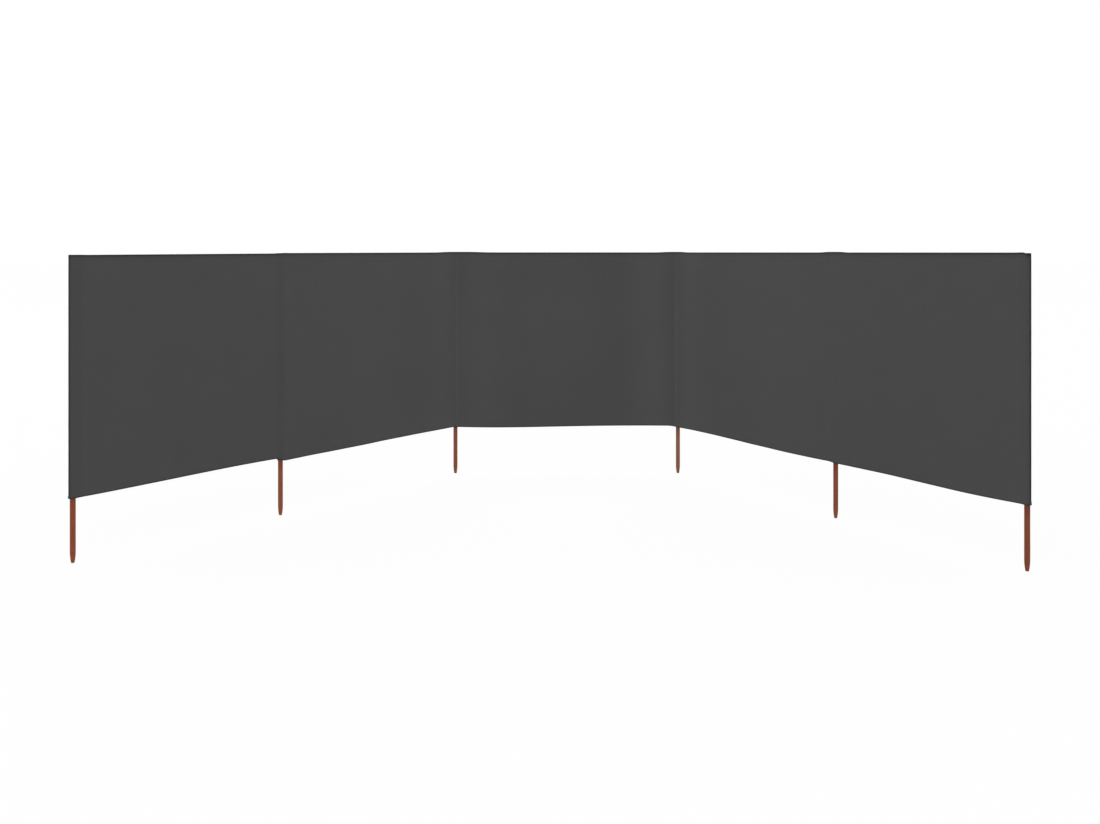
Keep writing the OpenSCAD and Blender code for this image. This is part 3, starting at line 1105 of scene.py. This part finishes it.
class WINDBREAK_OT_poles(Operator):
    """Make the turned and stained pine poles"""

    bl_idname = "windbreak.poles"
    bl_label = "Poles"

    TAPER_STEPS, ROUND_STEPS = 10, 5
    TAPER_BULGE = 0.9           # below 1 the point widens faster near the foot
    MERGE_WITHIN = 0.01 * MM
    STRAY_SIZE = 12 * MM        # width of the turned surface's unevenness
    STRAY_DRAW = 6              # how much longer than wide it is
    STRAY_SHIFT = 0.6           # keeps most of it inside the pole's own radius
    HEART_AWAY = (8 * MM, 20 * MM)      # least and most from the pole's middle to the tree's heart
    HEART_LEAN = 6 * MM         # how far the tree's heart strays from the pole, for each metre
    PIECE_SHIFT = 3.1           # so that no two poles are cut from the same place of the tree

    def execute(self, context):
        settings = context.scene.windbreak_poles
        material = pine_material(settings)
        cloth = Cloth(context.scene.windbreak_cloth)
        tops = np.minimum(POLE_TOPS, cloth.top(cloth.pole_marks) - settings.top_room)
        for number, node in enumerate(POLES):
            mesh = self.turned(settings, number, node, tops[number])
            piece = new_piece(shown_name(node), mesh, material)
            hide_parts(node)
        return {"FINISHED"}

    def outline(self, settings, top):
        """Points (radius, height) of a pole's outline from the foot's middle to the top's."""
        taper = np.linspace(0, 1, self.TAPER_STEPS)
        shaft = np.linspace(settings.point_length, top - settings.top_round, settings.rows + 1)
        quarter = np.linspace(0, math.pi / 2, self.ROUND_STEPS)
        rounding = settings.point_radius - settings.foot_radius
        foot = [(settings.foot_radius + rounding * math.sin(a), settings.foot_height * (1 - math.cos(a)))
                for a in quarter]
        rise = settings.point_length - settings.foot_height
        widen = POLE_RADIUS - settings.point_radius
        point = [(settings.point_radius + widen * math.sin(t * math.pi / 2) ** self.TAPER_BULGE,
                  settings.foot_height + rise * t) for t in taper[1:-1]]
        shank = [(POLE_RADIUS, z) for z in shaft]
        crown = [(POLE_RADIUS - settings.top_round * (1 - math.cos(a)),
                  top - settings.top_round * (1 - math.sin(a))) for a in quarter[1:]]
        return [(0, 0), (settings.foot_radius / 2, 0), *foot, *point, *shank, *crown,
                (POLE_RADIUS / 2, top), (0, top)]

    def turned(self, settings, number, node, top):
        """Pole turned from its outline, a little uneven, with what its material reads."""
        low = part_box(node)[0]
        x, y = POLE_PLACES[number]
        bm = bmesh.new()
        corners = [bm.verts.new((x + r, y, low.z + z)) for r, z in self.outline(settings, top - low.z)]
        edges = [bm.edges.new(pair) for pair in zip(corners, corners[1:])]
        bmesh.ops.spin(
            bm, geom=corners + edges, cent=(x, y, 0), axis=(0, 0, 1), angle=2 * math.pi,
            steps=settings.sides, use_merge=True)
        bmesh.ops.remove_doubles(bm, verts=bm.verts, dist=self.MERGE_WITHIN)
        bmesh.ops.recalc_face_normals(bm, faces=bm.faces)
        mesh = bpy.data.meshes.new(node)
        bm.to_mesh(mesh)
        bm.free()
        points = np.empty(len(mesh.vertices) * 3, np.float32)
        mesh.vertices.foreach_get("co", points)
        points = points.reshape(-1, 3).astype(float)
        arm = points[:, :2] - POLE_PLACES[number]
        turn = np.arctan2(arm[:, 1], arm[:, 0])
        radius = np.hypot(*arm.T)
        across = POLE_RADIUS * np.cos(turn)
        up = points[:, 2] / self.STRAY_DRAW + POLE_RADIUS * np.sin(turn)
        stray = ripple(across, up, self.STRAY_SIZE, TURNING_SEED + number) - self.STRAY_SHIFT
        keep = 1 + settings.unevenness * stray / POLE_RADIUS * (radius > settings.foot_radius)
        points[:, :2] = POLE_PLACES[number] + arm * keep[:, None]
        place_points(mesh, points)
        self.note_grain(mesh, settings, number, points)
        return mesh

    def note_grain(self, mesh, settings, number, points):
        """Each point's place round the tree's heart, the pole's own tint, and its stain level with painted
        shade inside its pocket.
        """
        rng = np.random.default_rng(GRAIN_SEED + number)
        away = rng.uniform(*self.HEART_AWAY)
        side = rng.uniform(0, 2 * math.pi)
        lean = rng.uniform(-self.HEART_LEAN, self.HEART_LEAN, 2)
        heart = points.copy()
        heart[:, :2] -= POLE_PLACES[number] - away * np.array([math.cos(side), math.sin(side)])
        heart[:, :2] += lean * points[:, 2:3]
        heart[:, 2] += number * self.PIECE_SHIFT
        layer = mesh.attributes.new("heart", "FLOAT_VECTOR", "POINT")
        layer.data.foreach_set("vector", heart.astype(np.float32).ravel())
        note(mesh, "tint", np.full(len(points), settings.tints[number]))
        # Painted shade inside the pocket, times the stain's own level
        under = smooth_step(points[:, 2], CLOTH_BOTTOM - settings.pocket_fade, CLOTH_BOTTOM)
        note(mesh, "shade", settings.levels[number] * (1 - settings.pocket_painted_shade * under))


class WINDBREAK_OT_pockets(Operator):
    """Make the sewn pockets that hold the poles"""

    bl_idname = "windbreak.pockets"
    bl_label = "Pockets"

    def execute(self, context):
        looks = context.scene.windbreak_cloth
        settings = context.scene.windbreak_pockets
        cloth = Cloth(looks)
        material = bpy.data.materials[CLOTH_FINISH]
        for pole, node in enumerate(POCKETS):
            strip = PocketStrip(cloth, settings, pole)
            piece = new_piece(shown_name(node), strip.mesh(), material)
            thicken(piece, settings.thickness)
            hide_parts(node)
        return {"FINISHED"}


class PocketStrip:
    """Strip of cloth that is sewn down on both sides of a pole and closed over its top."""

    COLUMN = 2.0 * MM
    ROW = 7.0 * MM
    FOLD_ROWS = 9
    CAP_ROWS = 14
    INNER_SHARE = 0.35          # share of the fold's rows that lie inside, before it turns
    TOP_ROOM = 0.5 * MM         # how far the strip's top stays under the cloth's
    CAP_LENGTH = 2 / 3          # flat length of the closed top, in radii of the pocket
    LINE_STEP = 0.25 * MM
    ROUND_STEPS = 40
    NEAR_POLE = 0.12            # stretch of the cloth on each side that a pocket may meet
    # From the cloth's fold at a free edge, along the bay and towards the sheltered side, to the places
    # where the strip is tucked in, where it turns round the fold, and where it leaves for the pole
    FREE_EDGE = ((-4 * MM, 3 * MM), (0.3 * MM, 0), (1 * MM, -1.5 * MM))
    WING_SQUARE, POLE_SQUARE = 1.5, 5.0     # how square the closed top is beside the pole and over it
    CAP_SPREAD = (0.75 * POLE_RADIUS, 1.9 * POLE_RADIUS)    # from over the pole to beside it
    HANG_WIDTH = 1.2 * POLE_RADIUS
    FLAT_ENDS = (2 * MM, 6 * MM)            # stretch from an edge in which the turned-up layer lies flat
    CREASE_STARTS = (6 * MM, 20 * MM)       # stretch from an edge over which the creases rise
    CREASES_FROM = (0.8 * POLE_RADIUS, 1.4 * POLE_RADIUS)   # from none over the pole to whole
    NARROW_CREASE, NARROW_SQUEEZE, NARROW_DRAW = 16 * MM, 1.5, 2.2
    WIDE_CREASE, WIDE_DRAW = 60 * MM, 3

    def __init__(self, cloth, settings, pole):
        self.cloth = cloth
        self.settings = settings
        self.pole = pole
        self.radius = POLE_RADIUS + settings.clearance + settings.thickness / 2
        self.bend = half_bend(pole)
        self.before, self.after = pocket_reaches(pole)
        self.line = softened_line(np.array(self.corners()), settings.seam_softness, self.LINE_STEP)
        self.lengths = line_lengths(self.line)
        self.width = self.lengths[-1]
        mark = cloth.pole_marks[pole:pole + 1]
        self.low = float(cloth.bottom(mark)[0]) - settings.hang
        self.high = float(cloth.top(mark)[0]) - self.TOP_ROOM
        self.height = self.high - self.low + settings.turned_height + self.CAP_LENGTH * self.radius

    def turned(self, side, u, v):
        """Point in the directions of the bay on one side, in those of the pocket."""
        cos, sin = math.cos(self.bend), math.sin(self.bend)
        return side * (u * cos + v * sin), v * cos - u * sin

    def side_corners(self, side, reach):
        """Corners of the strip on one side, from its edge to where it meets the round."""
        looks = self.cloth.looks
        if side == end_side(self.pole):
            start = [(looks.fold_reach + along, -looks.fold_depth - ahead)
                     for along, ahead in self.FREE_EDGE]
            seam, depth = start[-1][0], -start[-1][1]
        else:
            seam = reach - looks.allowance
            depth = BACK_FACE - self.settings.thickness / 2
            start = [(reach, -depth), (seam, -depth)]
        facing = math.acos(self.radius / math.hypot(seam, depth)) - math.atan2(depth, seam)
        return [self.turned(side, u, v) for u, v in start], facing

    def corners(self):
        """Corners of the strip in plan: x along the mean heading and y to the windward side."""
        left, facing_left = self.side_corners(-1, self.before)
        right, facing_right = self.side_corners(1, self.after)
        start = math.pi - facing_left + self.bend
        end = facing_right - self.bend
        turns = np.linspace(start, end, self.ROUND_STEPS)
        around = [(self.radius * math.cos(turn), self.radius * math.sin(turn)) for turn in turns]
        return [*left, *around, *reversed(right)]

    def in_plan(self, local):
        """Points of the pocket's own frame in plan."""
        heading = mean_heading(self.pole)
        cos, sin = math.cos(heading), math.sin(heading)
        x, y = local[:, 0], local[:, 1]
        return POLE_PLACES[self.pole] + np.column_stack([x * cos - y * sin, x * sin + y * cos])

    def cloth_behind(self, x):
        """y of the back of the cloth in the pocket's own frame, at places across it."""
        heading = mean_heading(self.pole)
        cos, sin = math.cos(heading), math.sin(heading)
        near = np.abs(self.cloth.lengths - self.cloth.pole_marks[self.pole]) < self.NEAR_POLE
        arm = self.cloth.points[near] - POLE_PLACES[self.pole]
        across = arm[:, 0] * cos + arm[:, 1] * sin
        back = -arm[:, 0] * sin + arm[:, 1] * cos
        return np.interp(x, across, back + (self.cloth.looks.thickness + self.settings.thickness) / 2)

    def lower_edge(self, x):
        """Height of the strip's lower edge: along the cloth's beside the pole, and lower behind it."""
        settings = self.settings
        beside = self.cloth.bottom(self.cloth.pole_marks[self.pole] + x) + settings.edge_room
        round_share = np.exp(-(x / self.HANG_WIDTH) ** 4)
        return beside + (self.low - beside) * round_share

    def on_line(self, at):
        """Points of the strip in plan, in the pocket's own frame, and outward directions there."""
        base = np.column_stack([np.interp(at, self.lengths, self.line[:, k]) for k in range(2)])
        ways = np.gradient(self.line, self.lengths, axis=0)
        along = np.column_stack([np.interp(at, self.lengths, ways[:, k]) for k in range(2)])
        out = np.column_stack([-along[:, 1], along[:, 0]])
        return base, out / np.hypot(*out.T)[:, None]

    def turned_edge(self, fold, at):
        """Height over the lower edge, and distance outward, along the turned-up edge."""
        roll = self.cloth.looks.hem_layer / 2
        inner = self.INNER_SHARE
        inside = self.settings.turned_height * (1 - fold / inner) + roll * fold / inner
        turn = np.clip((fold - inner) / (1 - inner), 0, 1) * math.pi
        rise = np.where(fold < inner, inside, roll * (1 - np.sin(turn)))
        layered = smooth_step(np.minimum(at, self.width - at), *self.FLAT_ENDS)
        return rise, roll * (1 + np.cos(turn)) * layered

    def creases(self, at, x, z):
        """Height of the strip's loose creases beside the pole, which run mostly upwards."""
        held = smooth_step(np.minimum(at, self.width - at), *self.CREASE_STARTS)
        beside = smooth_step(np.abs(x), *self.CREASES_FROM)
        side = np.sign(x)
        across, up = at * self.NARROW_SQUEEZE + side, z / self.NARROW_DRAW
        crease = ripple(across, up, self.NARROW_CREASE, CREASE_SEED + self.pole)
        crease += ripple(at / self.WIDE_DRAW + side, z, self.WIDE_CREASE, WIDE_CREASE_SEED + self.pole)
        return self.settings.slack * held * beside * crease

    def over_hem(self, x, z):
        """How far the cloth's hems lift the strip that is sewn over them."""
        marks = np.full_like(z, self.cloth.pole_marks[self.pole])
        lifted = self.cloth.looks.hem_layer * self.cloth.edge_zone(marks, z, HEM_HEIGHT)
        return lifted * smooth_step(np.abs(x), POLE_RADIUS, 2 * POLE_RADIUS)

    def pinched(self, at):
        """How far the stitches pull the strip in along its seams."""
        looks = self.cloth.looks
        from_seams = (at - looks.allowance / 2, self.width - at - looks.allowance / 2)
        return self.settings.pinch * sum(np.exp(-(away / looks.groove_width) ** 2) for away in from_seams)

    def mesh(self):
        """The strip's sheet, from its turned-up lower edge to its closed top."""
        settings, looks = self.settings, self.cloth.looks
        columns, wall_rows = int(self.width / self.COLUMN), int((self.high - self.low) / self.ROW)
        rows = self.FOLD_ROWS + wall_rows + self.CAP_ROWS
        mesh, u, v = grid_mesh(columns, rows)
        row = v * rows
        at = u * self.width
        base, out = self.on_line(at)
        x = base[:, 0]
        behind = base[:, 1] - self.cloth_behind(x)
        over_pole = 1 - smooth_step(np.abs(x), *self.CAP_SPREAD)
        closing = settings.wing_height + (settings.cap_height - settings.wing_height) * over_pole
        square = self.WING_SQUARE + (self.POLE_SQUARE - self.WING_SQUARE) * over_pole

        fold = np.clip(row / self.FOLD_ROWS, 0, 1)
        wall = np.clip((row - self.FOLD_ROWS) / wall_rows, 0, 1)
        cap = np.clip((row - self.FOLD_ROWS - wall_rows) / self.CAP_ROWS, 0, 1)
        low = self.lower_edge(x)
        rise, layer_out = self.turned_edge(fold, at)
        wall_start = low + looks.hem_layer / 2
        cap_start = self.high - closing
        angle = cap * math.pi / 2
        wall_z = wall_start + (cap_start - wall_start) * wall
        cap_z = cap_start + closing * np.sin(angle) ** (2 / square)
        z = np.where(row < self.FOLD_ROWS, low + rise, np.where(cap > 0, cap_z, wall_z))

        lift = (self.creases(at, x, z) + self.over_hem(x, z)) * (1 - cap) + layer_out - self.pinched(at)
        local = base + out * lift[:, None]
        local[:, 1] -= behind * (1 - np.cos(angle) ** (2 / square))
        place_points(mesh, np.column_stack([self.in_plan(local), z]))
        lay_pattern(mesh, at + self.pole, z)
        # Painted shade along the strip's top and lower edges, at the back's share
        darkness = painted_edge_shade(looks, self.high - z, looks.edge_fade)
        darkness += painted_edge_shade(looks, z - low, looks.bottom_fade)
        note(mesh, "shade", 1 - looks.back_share * darkness)
        return mesh


class WINDBREAK_OT_hems(Operator):
    """Make the turned-over top and bottom edges of the bays"""

    bl_idname = "windbreak.hems"
    bl_label = "Hems"

    ROWS = 14
    TURN_START, TURN_END = 0.12, 0.62       # shares of the rows at which the layer turns
    LEAD = 3 * MM                           # how far it runs on inside, in front of the turn
    LAYER_GAP = 0.02 * MM
    FINE_COLUMN, COARSE_COLUMN, NEAR_POLE = 3 * MM, 9 * MM, 45 * MM
    UNEVEN_WIDTH, WIDTH_WAVES, EDGE_WAVES = 0.035, 40 * MM, 18 * MM
    PATTERN_SHIFT = 0.3                     # so that a hem's weave isn't the cloth's

    def execute(self, context):
        cloth = Cloth(context.scene.windbreak_cloth)
        material = bpy.data.materials[CLOTH_FINISH]
        for level, nodes in HEMS.items():
            for bay, node in enumerate(nodes):
                mesh = self.folded(cloth, bay, level)
                piece = new_piece(shown_name(node), mesh, material)
                thicken(piece, cloth.looks.hem_layer)
                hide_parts(node)
        return {"FINISHED"}

    def fold_line(self, looks, share):
        """Height over the edge and depth behind the cloth, along the turned-over layer."""
        roll = (looks.thickness + looks.hem_layer) / 4
        turn = np.clip((share - self.TURN_START) / (self.TURN_END - self.TURN_START), 0, 1) * math.pi
        rise = roll * (1 - np.sin(turn))
        rise += self.LEAD * np.clip(1 - share / self.TURN_START, 0, 1)
        rise += (HEM_HEIGHT - roll) * np.clip((share - self.TURN_END) / (1 - self.TURN_END), 0, 1)
        return rise, roll * (1 - np.cos(turn)) + self.LAYER_GAP

    def folded(self, cloth, bay, level):
        """Strip from pole to pole, whose cut edge strays a little from straight."""
        looks = cloth.looks
        start, end = cloth.pole_marks[bay:bay + 2]
        start = 0.0 if bay == 0 else start
        end = cloth.length if bay == BAY_COUNT - 1 else end
        places = spaced(start, end, [start, end], self.FINE_COLUMN, self.COARSE_COLUMN, self.NEAR_POLE)
        mesh, u, v = grid_mesh(len(places) - 1, self.ROWS)
        s = np.interp(u * (len(places) - 1), np.arange(len(places)), places)
        rise, depth = self.fold_line(looks, v)
        across = np.zeros_like(s)
        rise *= 1 + self.UNEVEN_WIDTH * ripple(s, across, self.WIDTH_WAVES, HEM_WIDTH_SEED + bay)
        z = cloth.bottom(s) + rise if level == BOTTOM else cloth.top(s) - rise
        cut = smooth_step(rise, looks.stitch_line, HEM_HEIGHT)
        loose = looks.hem_looseness * cut * (1 + ripple(s, across, self.EDGE_WAVES, HEM_EDGE_SEED + bay))
        place_points(mesh, cloth.place(s, z, depth + loose))
        lay_pattern(mesh, s, z + self.PATTERN_SHIFT)
        # Painted shade along the hem's edge, weaker on the layer behind
        fade = looks.bottom_fade if level == BOTTOM else looks.edge_fade
        behind = smooth_step(depth, 0, depth.max())
        kept = 1 + (looks.back_share - 1) * behind
        note(mesh, "shade", 1 - kept * painted_edge_shade(looks, rise, fade))
        return mesh


class WINDBREAK_OT_stitching(Operator):
    """Make the rows of stitches along the hems and the pockets' seams"""

    bl_idname = "windbreak.stitching"
    bl_label = "Stitching"

    END_ROOM = 2 * MM           # from a free edge to the first stitch of a hem
    EDGE_ROOM = 1.5 * MM        # from a lower or top edge to the first stitch of a seam
    NUDGE = 0.5 * MM            # step along the cloth that gives a stitch its direction
    BALL_SIDES, BALL_RINGS = 5, 3

    def execute(self, context):
        looks = context.scene.windbreak_cloth
        pockets = context.scene.windbreak_pockets
        settings = context.scene.windbreak_stitches
        cloth = Cloth(looks)
        material = thread_material(settings)
        rows = {
            "hem_stitching": self.hem_rows(cloth, settings),
            "pocket_stitching": self.pocket_rows(cloth, pockets, settings),
        }
        for name, lines in rows.items():
            mesh = self.sewn(lines, settings)
            new_piece(name, mesh, material)
        return {"FINISHED"}

    @staticmethod
    def stitch_places(start, end, settings):
        """Middles of the stitches of a row."""
        count = int((end - start) / settings.pitch)
        return start + settings.pitch * (np.arange(count) + 0.5)

    def hem_rows(self, cloth, settings):
        """Rows along both edges: unbroken in front, and from pocket to pocket behind."""
        looks = cloth.looks
        front = -looks.thickness / 2
        back = looks.thickness / 2 + looks.hem_layer + settings.lift
        stretches = [(self.END_ROOM, cloth.length - self.END_ROOM, front)]
        for bay in range(BAY_COUNT):
            start, end = cloth.pole_marks[bay:bay + 2]
            first, last = pocket_reaches(bay)[1], pocket_reaches(bay + 1)[0]
            stretches.append((start + first, end - last, back))
        rows = []
        for start, end, depth in stretches:
            s = self.stitch_places(start, end, settings)
            facing = -math.copysign(1, depth)
            for z in (cloth.bottom(s) + looks.stitch_line, cloth.top(s) - looks.stitch_line):
                rows.append(self.along_cloth(cloth, s, z, depth, facing, level=True))
        return rows

    def pocket_rows(self, cloth, pockets, settings):
        """Upright rows along the pockets' seams, on both faces."""
        looks = cloth.looks
        rows = []
        back = looks.thickness / 2 + pockets.thickness + settings.lift
        for mark in cloth.seam_marks():
            low = float(cloth.bottom(np.array([mark]))[0]) + self.EDGE_ROOM
            high = float(cloth.top(np.array([mark]))[0]) - self.EDGE_ROOM
            z = self.stitch_places(low, high, settings)
            s = np.full_like(z, mark)
            hem = looks.hem_layer * cloth.edge_zone(s, z, HEM_HEIGHT)
            turned = looks.hem_layer * (z < low + pockets.turned_height)
            rows.append(self.along_cloth(cloth, s, z, -looks.thickness / 2, 1, level=False))
            rows.append(self.along_cloth(cloth, s, z, back + hem + turned, -1, level=False))
        return rows

    def along_cloth(self, cloth, s, z, depth, facing, level):
        """Middles, directions and outward directions of stitches on the cloth."""
        middle = cloth.place(s, z, depth)
        along, up = (self.NUDGE, 0) if level else (0, self.NUDGE)
        way = cloth.place(s + along, z + up, depth) - cloth.place(s - along, z - up, depth)
        way /= np.linalg.norm(way, axis=1)[:, None]
        outward = np.column_stack([facing * cloth.inward(s), np.zeros_like(s)])
        return middle, way, outward

    def sewn(self, rows, settings):
        """One mesh of all the stitches of some rows: copies of a small ball drawn out long."""
        bm = bmesh.new()
        bmesh.ops.create_uvsphere(bm, u_segments=self.BALL_SIDES, v_segments=self.BALL_RINGS, radius=0.5)
        bm.verts.ensure_lookup_table()
        ball = np.array([v.co for v in bm.verts])
        faces = [[v.index for v in f.verts] for f in bm.faces]
        bm.free()
        middle, way, outward = (np.concatenate([row[k] for row in rows]) for k in range(3))
        aside = np.cross(way, outward)
        width = settings.width
        points = (
            middle[:, None, :]
            + ball[None, :, 2:3] * settings.length * way[:, None, :]
            + ball[None, :, 0:1] * width * outward[:, None, :]
            + ball[None, :, 1:2] * width * aside[:, None, :]
        )
        count = len(ball)
        all_faces = [[n + k * count for n in face] for k in range(len(middle)) for face in faces]
        mesh = bpy.data.meshes.new("stitches")
        mesh.from_pydata(points.reshape(-1, 3).tolist(), [], all_faces)
        return mesh


class WINDBREAK_OT_cloth(Operator):
    """Make the cloth, in one sheet from end to end"""

    bl_idname = "windbreak.cloth"
    bl_label = "Cloth"

    FINE_COLUMN, COARSE_COLUMN, NEAR_POLE = 3.3 * MM, 18 * MM, 45 * MM
    # The same up the cloth, as shares of its height
    FINE_ROW, COARSE_ROW, NEAR_EDGE = 0.0022, 0.016, 0.014

    def execute(self, context):
        looks = context.scene.windbreak_cloth
        cloth = Cloth(looks)
        piece = new_piece("cloth_made", self.hung(cloth), bpy.data.materials[CLOTH_FINISH])
        thicken(piece, looks.thickness)
        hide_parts(*PANELS)
        on_it = [shown_name(node) for nodes in HEMS.values() for node in nodes]
        on_it += ["hem_stitching", "pocket_stitching"]
        return {"FINISHED"}

    def hung(self, cloth):
        """The sheet, on a grid that is finer at the poles and along the edges."""
        columns = (self.FINE_COLUMN, self.COARSE_COLUMN, self.NEAR_POLE)
        places = spaced(0, cloth.length, cloth.pole_marks, *columns)
        heights = spaced(0, 1, [0, 1], self.FINE_ROW, self.COARSE_ROW, self.NEAR_EDGE)
        mesh, u, v = grid_mesh(len(places) - 1, len(heights) - 1)
        s = np.interp(u * (len(places) - 1), np.arange(len(places)), places)
        share = np.interp(v * (len(heights) - 1), np.arange(len(heights)), heights)
        low = cloth.bottom(s) + cloth.looks.edge_fold
        high = cloth.top(s) - cloth.looks.edge_fold
        z = low + (high - low) * share
        place_points(mesh, cloth.place(s, z))
        lay_pattern(mesh, s, z)
        # The cloth's points carry painted shade along its edges and in front of some poles
        note(mesh, "shade", cloth_painted_shade(cloth, s, z))
        return mesh


def cloth_painted_shade(cloth, s, z):
    """How light each place of the cloth is, as painted shade: less in front of some poles and near its
    edges.
    """
    looks = cloth.looks
    shade = 1 - painted_edge_shade(looks, z - cloth.bottom(s), looks.bottom_fade)
    shade *= 1 - painted_edge_shade(looks, cloth.top(s) - z, looks.edge_fade)
    shade *= 1 - painted_edge_shade(looks, np.minimum(s, cloth.length - s), looks.side_fade)
    # Painted shade of each pole behind the cloth, in a band in front of it
    for mark, shift, darkness in zip(cloth.pole_marks, looks.pole_shade_shifts, looks.painted_pole_shades):
        from_middle = s - mark + shift
        shade *= 1 - darkness * np.exp(-(from_middle / looks.pole_shade_width) ** 4)
    return shade


def painted_edge_shade(looks, away, fade):
    """Painted shade at a distance from an edge."""
    return looks.edge_shade * np.exp(-np.maximum(away, 0) / fade)


class WINDBREAK_OT_fabric(Operator):
    """Make the cloth's material, which the cloth, the hems and the pockets share"""

    bl_idname = "windbreak.fabric"
    bl_label = "Fabric"

    def execute(self, context):
        cloth_material(context.scene.windbreak_cloth)
        return {"FINISHED"}


# ---- Sidebar and registration ----

SETTINGS = {
    "windbreak_stage": StageSettings,
    "windbreak_cloth": ClothSettings,
    "windbreak_poles": PoleSettings,
    "windbreak_pockets": PocketSettings,
    "windbreak_stitches": StitchSettings,
}
OPERATORS = (
    WINDBREAK_OT_stage,
    WINDBREAK_OT_fabric,
    WINDBREAK_OT_poles,
    WINDBREAK_OT_pockets,
    WINDBREAK_OT_hems,
    WINDBREAK_OT_stitching,
    WINDBREAK_OT_cloth,
)


class WINDBREAK_PT_sidebar(Panel):
    """Lists the windbreak's operators and settings"""

    bl_idname = "WINDBREAK_PT_sidebar"
    bl_label = "Beach Windbreak"
    bl_space_type = "VIEW_3D"
    bl_region_type = "UI"
    bl_category = "Windbreak"

    def draw(self, context):
        for maker in OPERATORS:
            self.layout.operator(maker.bl_idname)
        for name in SETTINGS:
            box = self.layout.box()
            group = getattr(context.scene, name)
            for prop in group.bl_rna.properties:
                if prop.identifier not in {"rna_type", "name"}:
                    box.prop(group, prop.identifier)


def register():
    """Registers the settings, the operators and the sidebar's panel."""
    for group in SETTINGS.values():
        bpy.utils.register_class(group)
    for name, group in SETTINGS.items():
        setattr(bpy.types.Scene, name, PointerProperty(type=group))
    for maker in OPERATORS:
        bpy.utils.register_class(maker)
    bpy.utils.register_class(WINDBREAK_PT_sidebar)


def unregister():
    """Takes all of them out again."""
    bpy.utils.unregister_class(WINDBREAK_PT_sidebar)
    for maker in reversed(OPERATORS):
        bpy.utils.unregister_class(maker)
    for name in SETTINGS:
        delattr(bpy.types.Scene, name)
    for group in SETTINGS.values():
        bpy.utils.unregister_class(group)


def main():
    """Makes the whole windbreak and its studio."""
    register()
    bpy.ops.windbreak.stage()
    bpy.ops.windbreak.fabric()
    bpy.ops.windbreak.poles()
    bpy.ops.windbreak.pockets()
    bpy.ops.windbreak.hems()
    bpy.ops.windbreak.stitching()
    bpy.ops.windbreak.cloth()


if __name__ == "__main__":
    main()
